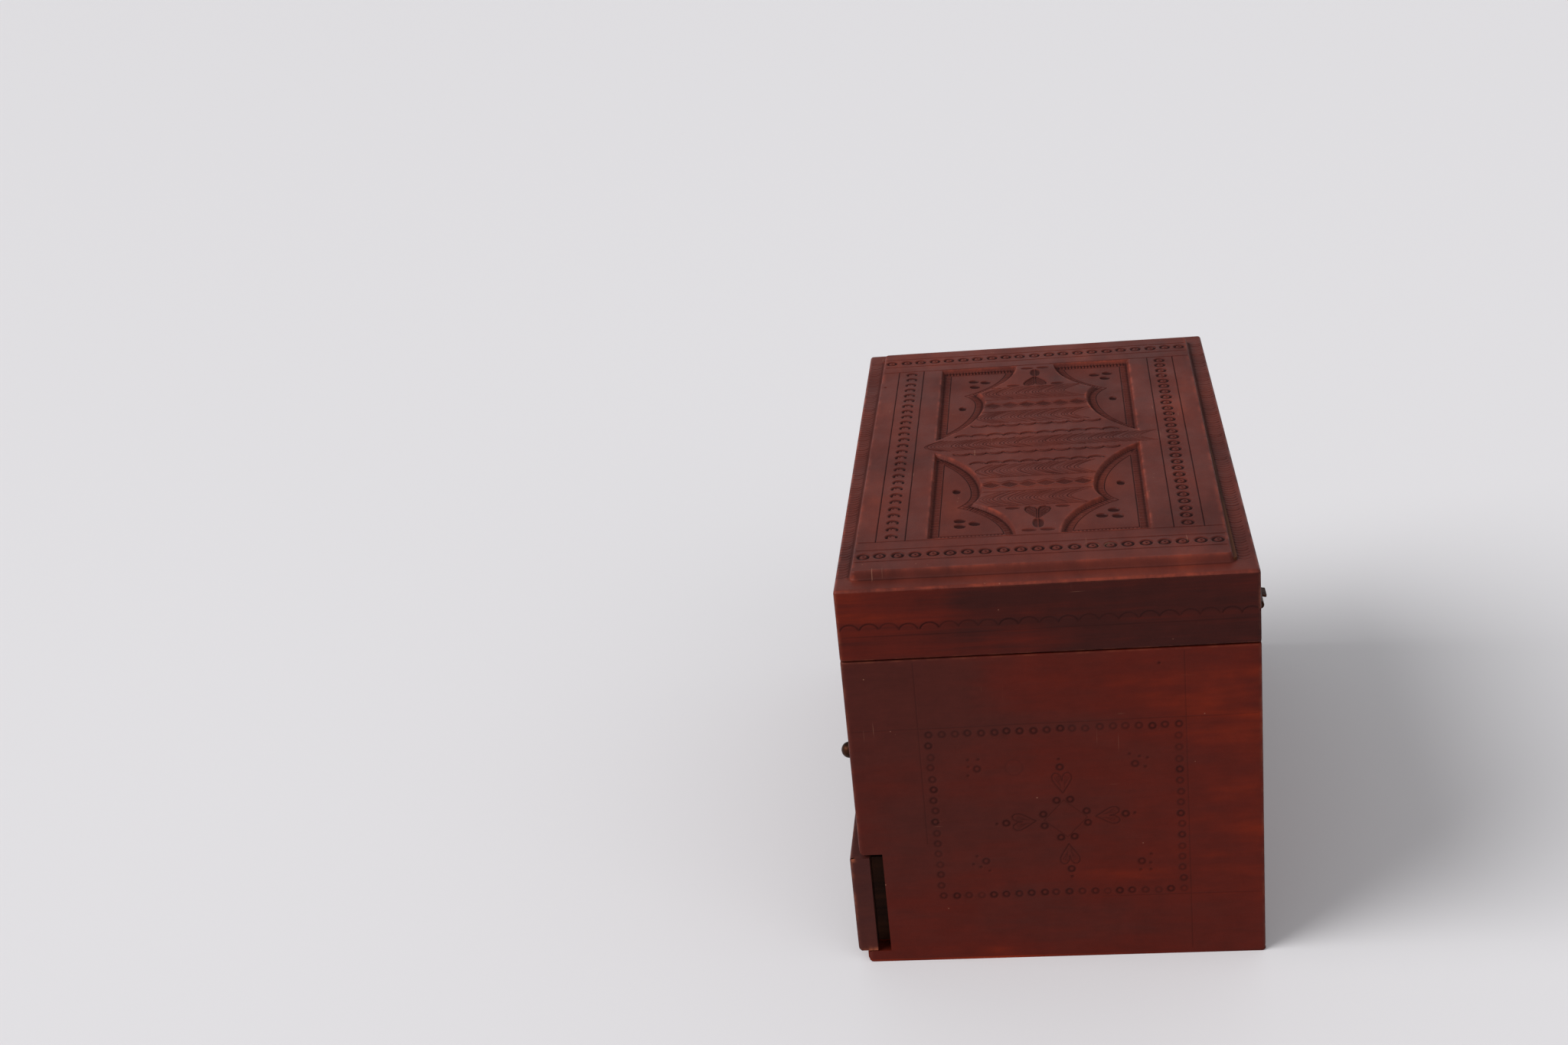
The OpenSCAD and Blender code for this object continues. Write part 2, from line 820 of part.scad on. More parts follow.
module drawer_left_side() {
    color(wood_colour) translate(drawer_rest) mirror([1, 0, 0]) drawer_side_form();
}

module drawer_back_board() {
    color(wood_colour) translate(drawer_rest) difference() {
        centred(drawer_inner_x + groove_d, drawer_inner_y, drawer_end_y, drawer_z, drawer_top_z);
        drawer_bottom_form();
    }
}

module drawer_bottom_board() {
    color(wood_colour) translate(drawer_rest) drawer_bottom_form();
}

module drawer_floor_pad() {
    gap = lining_t + pad_gap;
    middle = (drawer_back_y + drawer_inner_y) / 2;
    half = (drawer_inner_y - drawer_back_y) / 2;
    color(velvet_colour) translate(drawer_rest) translate([0, middle, drawer_pad_z])
        linear_extrude(pad_t) round_plan(drawer_inner_x - gap, half - gap, pad_corner_r);
}

module drawer_wall_lining() {
    color(velvet_colour) translate(drawer_rest) difference() {
        centred(drawer_inner_x, drawer_back_y, drawer_inner_y, drawer_pad_z, drawer_top_z - lining_drop);
        centred(drawer_inner_x - lining_t, drawer_back_y + lining_t, drawer_inner_y - lining_t,
                drawer_pad_z - over, drawer_top_z);
    }
}

// Turned knob: foot, tapered stem, bead and round head
module drawer_knob() {
    reach = knob_reach - rosette_t;
    head = reach - knob_head_r;
    color(brass_colour) translate(drawer_rest) difference() {
        translate([0, drawer_face_y - rosette_t, knob_z]) rotate([90, 0, 0]) rotate_extrude() intersection() {
            square([2 * knob_head_r, reach]);
            union() {
                translate([0, head]) circle(knob_head_r);
                square([knob_neck_r, head]);
                translate([knob_neck_r, knob_stem_h + knob_bead_r]) circle(knob_bead_r);
                polygon([[0, 0], [knob_foot_r, 0], [knob_foot_r, knob_foot_h],
                    [knob_neck_r, knob_stem_h], [0, knob_stem_h]]);
            }
        }
        knob_screw(screw_clear);
    }
}

// Dished rosette between knob and leather
module drawer_knob_rosette() {
    color(brass_colour) translate(drawer_rest) difference() {
        translate([0, drawer_face_y, knob_z]) rotate([90, 0, 0])
            rotate_extrude() polygon([[0, 0], [rosette_r, 0], [rosette_r, rosette_t / 2],
                [rosette_r - rosette_t / 2, rosette_t], [0, rosette_t]]);
        knob_screw(screw_clear);
    }
}

module drawer_knob_screw() {
    color(brass_colour) translate(drawer_rest) difference() {
        knob_screw(0);
        translate([-knob_screw_head_r, drawer_back_y - knob_slot_d, knob_z - knob_slot_w / 2])
            cube([2 * knob_screw_head_r, knob_slot_d + over, knob_slot_w]);
    }
}

bottom_board();
right_side_board();
left_side_board();
front_board();
back_board();
shelf_board();
base_leather();
drawer_bay_leather();
right_side_leather();
left_side_leather();
front_leather();
back_leather();
well_floor_pad();
well_right_lining();
well_left_lining();
well_front_lining();
well_back_lining();
hinge_case_leaves();
hinge_pins();
hinge_case_screws();
lid_front_rail();
lid_back_rail();
lid_right_rail();
lid_left_rail();
lid_top_board();
lid_panel_board();
lid_top_leather();
lid_front_leather();
lid_back_leather();
lid_right_leather();
lid_left_leather();
lid_ceiling_lining();
lid_wall_lining();
lid_mirror();
lid_mirror_frame();
hinge_lid_leaves();
hinge_lid_screws();
drawer_front_board();
drawer_front_leather();
drawer_right_side();
drawer_left_side();
drawer_back_board();
drawer_bottom_board();
drawer_floor_pad();
drawer_wall_lining();
drawer_knob();
drawer_knob_rosette();
drawer_knob_screw();
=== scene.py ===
# Jewelry box of wood and tooled leather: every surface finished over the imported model
import json
import math
import bpy
import numpy as np
from mathutils import Matrix, Vector

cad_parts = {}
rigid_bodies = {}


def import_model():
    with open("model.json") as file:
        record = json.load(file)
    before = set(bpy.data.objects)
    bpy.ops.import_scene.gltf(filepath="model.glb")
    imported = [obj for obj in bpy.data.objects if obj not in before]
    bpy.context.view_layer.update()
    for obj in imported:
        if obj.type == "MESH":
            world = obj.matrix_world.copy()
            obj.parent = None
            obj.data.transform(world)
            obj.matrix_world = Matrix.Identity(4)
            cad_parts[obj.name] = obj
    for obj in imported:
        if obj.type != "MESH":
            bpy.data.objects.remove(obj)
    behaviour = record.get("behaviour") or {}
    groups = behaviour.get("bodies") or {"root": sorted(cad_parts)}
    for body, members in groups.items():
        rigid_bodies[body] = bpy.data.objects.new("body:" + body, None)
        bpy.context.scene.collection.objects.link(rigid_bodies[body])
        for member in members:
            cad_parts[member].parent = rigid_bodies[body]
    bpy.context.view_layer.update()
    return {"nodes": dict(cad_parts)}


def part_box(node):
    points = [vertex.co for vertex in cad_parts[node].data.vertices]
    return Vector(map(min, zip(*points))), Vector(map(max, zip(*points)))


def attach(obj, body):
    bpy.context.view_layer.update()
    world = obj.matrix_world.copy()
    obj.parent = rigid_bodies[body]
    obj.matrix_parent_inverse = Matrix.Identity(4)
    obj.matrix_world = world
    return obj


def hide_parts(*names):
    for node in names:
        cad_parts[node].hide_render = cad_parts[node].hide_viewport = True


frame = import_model()
nodes = frame["nodes"]
mm = 0.001

# Cells of a leather sheet, in mm: fine under the stamps, larger by doubling where it is plain
sheetCells = {"lid": 0.3, "upright": 0.42, "levels": 4, "keyStep": 4, "spotStep": 0.25, "steepest": 0.012}
# Thickness of the dressed leather and of the linings, how far in from its ends a sheet lies flat,
# how strongly a chipped spot is worn, and the angle past which an edge stays sharp
sheetThick, liningThick, calmReach, chipWear, sharpAngle = 1.2, 1.2, 2.0, 2.5, math.radians(70)


def boxOf(node):
    low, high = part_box(node)
    return np.array(low) / mm, np.array(high) / mm


def srgb(red, green, blue):
    parts = [c / 255 for c in (red, green, blue)]
    return tuple(c / 12.92 if c < 0.04 else ((c + 0.055) / 1.055) ** 2.4 for c in parts) + (1.0,)


# Node helpers, shared by the stamp trees and the materials

def addNode(tree, kind, values=None, **settings):
    node = tree.nodes.new(kind)
    node.location = (180 * len(tree.nodes), -160 * (len(tree.nodes) % 4))
    for setting, value in settings.items():
        setattr(node, setting, value)
    for socket, value in (values or {}).items():
        if isinstance(value, bpy.types.NodeSocket):
            tree.links.new(value, node.inputs[socket])
        else:
            node.inputs[socket].default_value = value
    return node


def calc(tree, operation, first, second=0.0, clamp=False):
    return addNode(tree, "ShaderNodeMath", {0: first, 1: second}, operation=operation,
                   use_clamp=clamp).outputs[0]


def ease(tree, value, start, end, low=0.0, high=1.0):
    span = {"Value": value, "From Min": start, "From Max": end, "To Min": low, "To Max": high}
    return addNode(tree, "ShaderNodeMapRange", span, interpolation_type="SMOOTHSTEP").outputs[0]


def mixColour(tree, share, first, second, blend="MIX"):
    return addNode(tree, "ShaderNodeMix", {0: share, 6: first, 7: second}, data_type="RGBA",
                   blend_type=blend).outputs[2]


def noise(tree, place, scale, detail=2.0, roughness=0.5):
    values = {"Vector": place, "Scale": scale, "Detail": detail, "Roughness": roughness}
    return addNode(tree, "ShaderNodeTexNoise", values).outputs[0]


def scaled(tree, place, by, offset=(0.0, 0.0, 0.0)):
    return addNode(tree, "ShaderNodeMapping", {"Vector": place, "Location": offset, "Scale": by}).outputs[0]


def newTree(name, kind, inputs, outputs):
    tree = bpy.data.node_groups.new(name, kind)
    for label, socketType, value in inputs:
        socket = tree.interface.new_socket(name=label, in_out="INPUT", socket_type=socketType)
        if value is not None:
            socket.default_value = value
    for label, socketType in outputs:
        tree.interface.new_socket(name=label, in_out="OUTPUT", socket_type=socketType)
    return tree, addNode(tree, "NodeGroupInput"), addNode(tree, "NodeGroupOutput")


def useTree(thing, tree, inputs):
    modifier = thing.modifiers.new(tree.name, "NODES")
    modifier.node_group = tree
    for item in tree.interface.items_tree:
        if item.in_out == "INPUT" and item.name in inputs:
            modifier[item.identifier] = inputs[item.name]
    return modifier


def randomNumber(tree, low, high, seed):
    return addNode(tree, "FunctionNodeRandomValue", {2: low, 3: high, 8: seed},
                   data_type="FLOAT").outputs[1]


def storeNumber(tree, geometry, label, value, domain):
    values = {"Geometry": geometry, "Name": label, "Value": value}
    return addNode(tree, "GeometryNodeStoreNamedAttribute", values, data_type="FLOAT",
                   domain=domain).outputs[0]


def realised(tree, geometry, finish):
    # Every tree ends in real geometry with its material set
    real = addNode(tree, "GeometryNodeRealizeInstances", {0: geometry}).outputs[0]
    return addNode(tree, "GeometryNodeSetMaterial", {"Geometry": real, "Material": finish}).outputs[0]


# Stamps: a die is a small mesh whose edges press grooves, or whose faces press pits

def buildStampTree():
    tree, given, result = newTree("stampRow", "GeometryNodeTree", [
        ("Path", "NodeSocketGeometry", None), ("Die", "NodeSocketObject", None),
        ("Count", "NodeSocketInt", 10), ("Turn", "NodeSocketFloat", 0.0),
        ("Wobble", "NodeSocketFloat", 0.05), ("Wander", "NodeSocketFloat", 0.15),
        ("Faintest", "NodeSocketFloat", 0.6), ("Seed", "NodeSocketInt", 1),
        ("Finish", "NodeSocketMaterial", None)], [("Stamps", "NodeSocketGeometry")])
    take = given.outputs
    curve = addNode(tree, "GeometryNodeMeshToCurve", {0: take["Path"]}).outputs[0]
    points = addNode(tree, "GeometryNodeResampleCurve", {"Curve": curve, "Count": take["Count"]},
                     mode="COUNT").outputs[0]
    tangent = addNode(tree, "GeometryNodeInputTangent").outputs[0]
    tangent = addNode(tree, "ShaderNodeSeparateXYZ", {0: tangent}).outputs
    heading = calc(tree, "ARCTAN2", tangent[1], tangent[0])
    backSwing = calc(tree, "MULTIPLY", take["Wobble"], -1.0)
    swing = randomNumber(tree, backSwing, take["Wobble"], take["Seed"])
    angle = calc(tree, "ADD", calc(tree, "ADD", heading, take["Turn"]), swing)
    turned = addNode(tree, "ShaderNodeCombineXYZ", {2: angle}).outputs[0]
    die = addNode(tree, "GeometryNodeObjectInfo", {"Object": take["Die"]}).outputs["Geometry"]
    stamps = addNode(tree, "GeometryNodeInstanceOnPoints",
                     {"Points": points, "Instance": die, "Rotation": turned}).outputs[0]
    shift = addNode(tree, "FunctionNodeRandomValue", {0: (-1, -1, 0), 1: (1, 1, 0), 8: take["Seed"]},
                    data_type="FLOAT_VECTOR").outputs[0]
    shift = addNode(tree, "ShaderNodeVectorMath", {0: shift, 3: take["Wander"]},
                    operation="SCALE").outputs[0]
    stamps = addNode(tree, "GeometryNodeTranslateInstances",
                     {"Instances": stamps, "Translation": shift, "Local Space": False}).outputs[0]
    press = randomNumber(tree, take["Faintest"], 1.0, take["Seed"])
    stamps = storeNumber(tree, stamps, "press", press, "INSTANCE")
    tree.links.new(realised(tree, stamps, take["Finish"]), result.inputs[0])
    return tree


def diePull(tree, position, dies, element, domain):
    # Distance to the nearest stamp, its own numbers, and 0 where the sheet has no stamps at all
    near = addNode(tree, "GeometryNodeProximity", {0: dies, "Sample Position": position},
                   target_element=element).outputs
    index = addNode(tree, "GeometryNodeSampleNearest", {0: dies, 1: position}, domain=domain).outputs[0]
    read = {}
    for label in ("cut", "bite", "press"):
        value = addNode(tree, "GeometryNodeInputNamedAttribute", {"Name": label},
                        data_type="FLOAT").outputs[0]
        sample = {"Geometry": dies, "Value": value, "Index": index}
        read[label] = addNode(tree, "GeometryNodeSampleIndex", sample, data_type="FLOAT",
                              domain=domain).outputs[0]
    depth = calc(tree, "MULTIPLY", calc(tree, "MULTIPLY", read["bite"], read["press"]), near["Is Valid"])
    return near["Distance"], read["cut"], depth


# Profile of a pressed line, in half widths of the line, of a pit's wall in mm, and how dark each gets:
# partly the pressed leather's own dark, partly painted shade in grooves and pits
relief = {"thinnest": 0.05, "groove": (1.05, 0.15), "lipRise": (1.0, 1.5), "lipFall": (2.4, 1.5),
          "pitWall": 0.6, "lineDark": 3.0, "pitDark": 0.95}


def buildPressTree():
    tree, given, result = newTree("pressLeather", "GeometryNodeTree", [
        ("Sheet", "NodeSocketGeometry", None), ("Lines", "NodeSocketCollection", None),
        ("Pits", "NodeSocketCollection", None), ("Swell", "NodeSocketFloat", 0.2),
        ("Swell Scale", "NodeSocketFloat", 0.03), ("Lip", "NodeSocketFloat", 0.14),
        ("Seed", "NodeSocketFloat", 1.0), ("Finish", "NodeSocketMaterial", None)],
        [("Sheet", "NodeSocketGeometry")])
    take = given.outputs
    position = addNode(tree, "GeometryNodeInputPosition").outputs[0]
    dies = []
    for label in ("Lines", "Pits"):
        found = addNode(tree, "GeometryNodeCollectionInfo", {0: take[label]}).outputs[0]
        dies.append(addNode(tree, "GeometryNodeRealizeInstances", {0: found}).outputs[0])
    distance, cut, depth = diePull(tree, position, dies[0], "EDGES", "EDGE")
    ratio = calc(tree, "DIVIDE", distance, calc(tree, "MAXIMUM", cut, relief["thinnest"]))
    groove = ease(tree, ratio, *relief["groove"])
    rise, fall = ease(tree, ratio, *relief["lipRise"]), ease(tree, ratio, *relief["lipFall"])
    lip = calc(tree, "MULTIPLY", calc(tree, "MULTIPLY", rise, fall), take["Lip"])
    lines = calc(tree, "MULTIPLY", depth, calc(tree, "SUBTRACT", groove, lip))
    linesMark = calc(tree, "MULTIPLY", groove, calc(tree, "MULTIPLY", depth, relief["lineDark"], True))
    distance, cut, depth = diePull(tree, position, dies[1], "FACES", "FACE")
    pit = ease(tree, distance, relief["pitWall"], 0.0)
    pits = calc(tree, "MULTIPLY", depth, pit)
    pitsMark = calc(tree, "MULTIPLY", pit, calc(tree, "MULTIPLY", depth, relief["pitDark"], True))
    soft = addNode(tree, "ShaderNodeTexNoise", {"Vector": position, "W": take["Seed"],
                   "Scale": take["Swell Scale"], "Detail": 2.0}, noise_dimensions="4D").outputs[0]
    swell = calc(tree, "MULTIPLY", calc(tree, "SUBTRACT", soft, 0.5), take["Swell"])
    height = calc(tree, "SUBTRACT", swell, calc(tree, "ADD", lines, pits))
    offset = addNode(tree, "ShaderNodeCombineXYZ", {2: height}).outputs[0]
    # How dark each place is marked: partly the darker pressed leather, partly painted shade in grooves and
    # pits
    mark = calc(tree, "MAXIMUM", linesMark, pitsMark)
    sheet = storeNumber(tree, take["Sheet"], "pressed", mark, "POINT")
    sheet = addNode(tree, "GeometryNodeSetPosition", {"Geometry": sheet, "Offset": offset}).outputs[0]
    tree.links.new(realised(tree, sheet, take["Finish"]), result.inputs[0])
    return tree


stampTree = buildStampTree()
pressTree = buildPressTree()


def arc(centre, radius, start, end, steps, squash=1.0):
    angles = np.radians(np.linspace(start, end, steps + 1))
    return [(centre[0] + radius * math.cos(a), centre[1] + radius * squash * math.sin(a)) for a in angles]


def makeDie(name, lines=(), pits=()):
    # Lines are (points, half width, depth) and pits are (outline, depth); a depth below 0 is a ridge
    points, edges, faces, cuts, bites = [], [], [], [], []
    for line, cut, bite in lines:
        edges += [(len(points) + i, len(points) + i + 1) for i in range(len(line) - 1)]
        cuts += [cut] * (len(line) - 1)
        bites += [bite] * (len(line) - 1)
        points += list(line)
    for pit, bite in pits:
        faces.append(tuple(range(len(points), len(points) + len(pit))))
        cuts.append(0.5)
        bites.append(bite)
        points += list(pit)
    mesh = bpy.data.meshes.new(name)
    mesh.from_pydata([(x, y, 0) for x, y in points], edges, faces)
    domain = "FACE" if pits else "EDGE"
    for label, values in (("cut", cuts), ("bite", bites)):
        layer = mesh.attributes.new(label, "FLOAT", domain)
        layer.data.foreach_set("value", values)
    return bpy.data.objects.new(name, mesh)


def leafOutline(length, width, lean=0.0, bend=0.0):
    # Pointed leaf with its foot at the origin and its tip along +Y
    along = np.linspace(0, math.pi, 9)
    side = [(width / 2 * math.sin(a) ** 0.8, length * (1 - math.cos(a)) / 2) for a in along]
    outline = side + [(-x, y) for x, y in side[-2:0:-1]]
    turn = math.radians(lean)
    moved = []
    for x, y in outline:
        x += bend * (y / length) ** 2
        moved.append((x * math.cos(turn) - y * math.sin(turn), x * math.sin(turn) + y * math.cos(turn)))
    return moved


def dropOutline(radius, squash=0.75):
    return arc((0, 0), radius, 0, 360, 14, squash)[:-1]


def mirrored(outline):
    return [(-x, y) for x, y in reversed(outline)]


def featherLine(reach):
    # One long line of the feather bands: a round point along the row and sides that sweep back
    return [(9.0 * abs(t) ** 1.6 - 2.6, reach * t) for t in np.linspace(-1, 1, 17)]


# The dies of this box, in mm
halfHeart = [(0.4, 14.6), (2.9, 11.2), (5.3, 7.3), (6.4, 3.8), (5.8, 1.1), (3.8, 0.0), (1.6, 0.9),
             (0.5, 3.2)]
hearts = (halfHeart, mirrored(halfHeart))
lozengeRim = [(-4.2, 0.0), (-2.1, 1.9), (0.0, 3.1), (2.1, 1.9), (4.2, 0.0), (2.1, -1.9), (0.0, -3.1),
              (-2.1, -1.9)]
halfPetal = [(0.0, 0.0), (1.3, 2.2), (3.3, 5.2), (4.7, 7.9), (4.7, 10.2), (3.4, 11.6), (1.7, 11.3),
             (0.4, 9.4), (0.1, 7.0)]
dieForms = {
    "ring": {"lines": [(arc((0, 0), 2.5, 0, 360, 20), 1.0, 0.85),
                       (arc((0.2, 0), 0.3, 0, 360, 5), 0.5, 0.5)]},
    "halfRing": {"lines": [(arc((0, 0), 2.5, -20, 200, 14), 0.95, 0.8),
                           (arc((0.3, 0.4), 1.0, 20, 190, 8), 0.5, 0.45)]},
    "smallRing": {"lines": [(arc((0, 0), 1.5, 0, 360, 16), 0.95, 0.36)]},
    "smallArc": {"lines": [(arc((0, 0), 1.45, 40, 230, 10), 0.85, 0.46)]},
    "dot": {"pits": [(dropOutline(0.5, 1), 0.5)]},
    "scallop": {"lines": [(arc((0, -1.9), 4.5, 20, 160, 12, 0.85), 0.85, 0.8),
                          (arc((0, -1.9), 3.0, 35, 145, 8, 0.8), 0.6, 0.25)]},
    "fineScallop": {"lines": [(arc((0, -1.9), 4.6, 15, 165, 12, 0.85), 0.6, 0.34)]},
    "lozenge": {"pits": [(lozengeRim, 0.6)]},
    "hatch": {"lines": [([(x - 0.8, -1.9 + 0.3 * abs(x)), (x + 0.8, 1.9 - 0.3 * abs(x))], 0.3, 0.22)
                        for x in (-2.9, -1.5, 0.0, 1.5, 2.9)]},
    "zigzag": {"lines": [([(-4.7, 2.0), (0, 4.9), (4.7, 2.0)], 0.42, 0.26),
                         ([(-4.7, -2.0), (0, -4.9), (4.7, -2.0)], 0.7, -0.26)]},
    "feather": {"lines": [(featherLine(7.3), 0.38, 0.32)]},
    "wideFeather": {"lines": [(featherLine(8.3), 0.38, 0.32)]},
    "nail": {"lines": [(arc((-2.4, 0), 3.6, -62, 62, 8), 0.5, 0.22)]},
    "dash": {"lines": [([(0, -1.7), (0, 1.7)], 0.5, 0.5)]},
    "drop": {"pits": [(dropOutline(2.6, 0.84), 0.9)]},
    "pit": {"pits": [(dropOutline(2.6, 0.65), 1.0)]},
    "bar": {"pits": [(dropOutline(3.3, 0.4), 0.6)]},
    "heart": {"pits": [(half, 0.5) for half in hearts]},
    "heartRim": {"lines": [(half + half[:1], 0.36, 0.3) for half in hearts]},
    "veins": {"lines": [([(side * 1.3, y0), (side * x, y1)], 0.3, 0.3) for side in (1, -1)
                        for y0, x, y1 in ((10.9, 4.0, 7.2), (8.6, 4.9, 4.2), (6.3, 4.0, 2.1))]},
    "lens": {"pits": [(arc((0, side * 0.55), 5.0, 0, side * 180, 12, 0.38), 0.7) for side in (1, -1)]},
    "bud": {"lines": [(leafOutline(6.5, 3.4) + [(0, 0)], 0.5, 0.4)]},
    "petals": {"lines": [(halfPetal, 0.5, 0.3), (mirrored(halfPetal), 0.5, 0.3)]},
    "petalVeins": {"lines": [([(side * 0.9, 3.4 + 0.5 * step), (side * (1.6 + step), 9.8 - 0.4 * step)],
                              0.32, 0.2) for side in (1, -1) for step in (0, 1, 2)]},
}
dies = {name: makeDie(name + "Die", **form) for name, form in dieForms.items()}

# How evenly each row is set: how far a stamp turns, how far it strays in mm, and its faintest press
hand = {"ring": (0.05, 0.3, 0.6), "sideRing": (0.12, 0.3, 0.6), "nail": (0.1, 0.35, 0.3),
        "dash": (0.08, 0.12, 0.5), "feather": (0.07, 0.35, 0.35), "scallop": (0.05, 0.2, 0.75),
        "lozenge": (0.03, 0.15, 0.7), "fineScallop": (0.05, 0.4, 0.4), "single": (0.04, 0.1),
        "smallRing": (0.1, 0.4), "smallArc": (0.9, 0.4)}
# Half width and depth in mm of each kind of crease
creaseWork = {"lidEnd": (0.4, 0.45), "lidSide": (0.38, 0.4), "lidRow": (0.4, 0.4), "window": (0.36, 0.34),
              "flower": (0.32, 0.2), "face": (0.36, 0.16), "stain": (0.8, 0.07)}


class Prints:
    # Everything that is stamped into one sheet, kept as two collections of row objects
    def __init__(self, name):
        self.lines = bpy.data.collections.new(name + "Lines")
        self.pits = bpy.data.collections.new(name + "Pits")
        for group in (self.lines, self.pits):
            bpy.context.scene.collection.children.link(group)

    def row(self, die, path, count, turn, seed, wobble, wander, faintest):
        mesh = bpy.data.meshes.new("path")
        mesh.from_pydata([(x, y, 0) for x, y in path], [(i, i + 1) for i in range(len(path) - 1)], [])
        thing = bpy.data.objects.new("stamps", mesh)
        useTree(thing, stampTree, {
            "Die": dies[die], "Count": count, "Turn": math.radians(turn), "Seed": seed,
            "Wobble": wobble, "Wander": wander, "Faintest": faintest})
        (self.pits if len(dies[die].data.polygons) else self.lines).objects.link(thing)

    def one(self, die, x, y, turn=0.0, seed=1, press=1.0):
        # A single stamp: a row of one, which has no direction but its own turn
        self.row(die, [(x, y), (x + 1, y)], 1, turn, seed, *hand["single"], press)

    def crease(self, points, cut, bite):
        die = makeDie("crease", [(points, cut, bite)])
        layer = die.data.attributes.new("press", "FLOAT", "POINT")
        layer.data.foreach_set("value", [1.0] * len(layer.data))
        self.lines.objects.link(die)

    def lay(self, turn, middleY):
        for thing in [*self.lines.objects, *self.pits.objects]:
            thing.rotation_euler.z = turn
            thing.location.y = middleY

    def edgesAndSpots(self):
        # Points all along the stamps with the reach of each, for the cells that have to be fine
        view = bpy.context.evaluated_depsgraph_get()
        spots = []
        for thing in list(self.lines.objects) + list(self.pits.objects):
            mesh = thing.evaluated_get(view).to_mesh()
            place = np.zeros(len(mesh.vertices) * 3)
            mesh.vertices.foreach_get("co", place)
            lie = np.array(thing.matrix_basis)
            place = place.reshape(-1, 3)[:, :2] @ lie[:2, :2].T + lie[:2, 3]
            pairs = np.zeros(len(mesh.edges) * 2, int)
            mesh.edges.foreach_get("vertices", pairs)
            pairs = pairs.reshape(-1, 2)
            start, end = place[pairs[:, 0]], place[pairs[:, 1]]
            length = np.linalg.norm(end - start, axis=1)
            steps = np.maximum(1, np.ceil(length / sheetCells["spotStep"]).astype(int))
            for count in np.unique(steps):
                some = steps == count
                for share in np.linspace(0, 1, count + 1):
                    spots.append(start[some] * (1 - share) + end[some] * share)
            for face in mesh.polygons:
                ring = place[list(face.vertices)]
                middle = ring.mean(axis=0)
                for share in (0.0, 0.3, 0.55, 0.8):
                    spots.append(middle + (ring - middle) * share)
            thing.evaluated_get(view).to_mesh_clear()
        return np.concatenate(spots) if spots else np.zeros((0, 2))

    def remove(self):
        for group in (self.lines, self.pits):
            for thing in list(group.objects):
                bpy.data.objects.remove(thing)
            bpy.data.collections.remove(group)


# Leather sheets: a flat grid of cells that double in size away from the detail, bent round its edges

def gridLines(keys, fine):
    step = sheetCells["keyStep"]
    root = 2 ** sheetCells["levels"]
    steps = [0]
    for low, high in zip(keys, keys[1:]):
        steps.append(steps[-1] + step * max(1, round((high - low) / (fine * step))))
    total = -(-steps[-1] // root) * root
    index = np.arange(total + 1)
    return np.interp(index, steps, keys) + fine * np.maximum(0, index - steps[-1])


def blocks(mask, joined):
    return joined(mask.reshape(mask.shape[0] // 2, 2, mask.shape[1] // 2, 2), axis=(1, 3))


def spread(mask, times=1):
    for _ in range(times):
        wide = np.pad(mask, 1)
        rows, columns = mask.shape
        mask = np.logical_or.reduce([wide[1 + i:rows + 1 + i, 1 + j:columns + 1 + j]
                                     for i in (-1, 0, 1) for j in (-1, 0, 1)])
    return mask


def leafCells(fine, medium, domain):
    some, every = [domain], [domain]
    for level in range(sheetCells["levels"]):
        some.append(blocks(some[-1], np.any))
        every.append(blocks(every[-1], np.all))
    split = [None, blocks(fine & domain, np.any) | (some[1] & ~every[1])]
    for level in range(2, sheetCells["levels"] + 1):
        wanted = blocks(spread(split[-1]), np.any) | (some[level] & ~every[level])
        if level == 2:
            wanted |= blocks(blocks(medium & domain, np.any), np.any)
        split.append(wanted)
    leaves = []
    for level in range(sheetCells["levels"] + 1):
        here = every[level].copy()
        if level > 0:
            here &= ~split[level]
        if level < sheetCells["levels"]:
            here &= np.kron(split[level + 1], np.ones((2, 2), bool))
        leaves.append(np.argwhere(here) << level)
    return leaves


def cornersUsed(leaves, shape):
    used = np.zeros(shape, bool)
    for level, cells in enumerate(leaves):
        size = 1 << level
        for i, j in ((0, 0), (size, 0), (size, size), (0, size)):
            used[cells[:, 0] + i, cells[:, 1] + j] = True
    return used


def leafFaces(leaves, used, number):
    cells = leaves[0]
    i, j = cells[:, 0], cells[:, 1]
    faces = np.stack([number[i, j], number[i + 1, j], number[i + 1, j + 1], number[i, j + 1]], 1).tolist()
    seen, name = used.tolist(), number.tolist()
    for level in range(1, len(leaves)):
        size = 1 << level
        for i, j in leaves[level].tolist():
            face = [name[p][j] for p in range(i, i + size) if seen[p][j]]
            face += [name[i + size][q] for q in range(j, j + size) if seen[i + size][q]]
            face += [name[p][j + size] for p in range(i + size, i, -1) if seen[p][j + size]]
            face += [name[i][q] for q in range(j + size, j, -1) if seen[i][q]]
            faces.append(face)
    return faces


def bend(flat, low, high):
    # Carries flat distance over a rounded edge: position across, drop below the face, and the turn there
    across, drop, turn = flat.copy(), np.zeros_like(flat), np.zeros_like(flat)
    for side, sign in ((high, 1), (low, -1)):
        start = side["edge"] * sign - side["radius"]
        past = flat * sign - start
        over = past > 0
        radius = max(side["radius"], 1e-6)
        angle = np.minimum(past[over] / radius, side["turn"])
        rest = past[over] - angle * radius
        across[over] = sign * (start + radius * np.sin(angle) + rest * np.cos(angle))
        drop[over] = radius * (1 - np.cos(angle)) + rest * np.sin(angle)
        turn[over] = sign * angle
    return across, drop, turn


def flatEnd(side):
    return side["radius"] * (side["turn"] - 1) + side.get("run", 0)


def edgeOf(edge, radius=0.0, turn=0.0, run=0.0):
    return {"edge": edge, "radius": radius, "turn": turn if radius else 0.0, "run": run or 0.0}


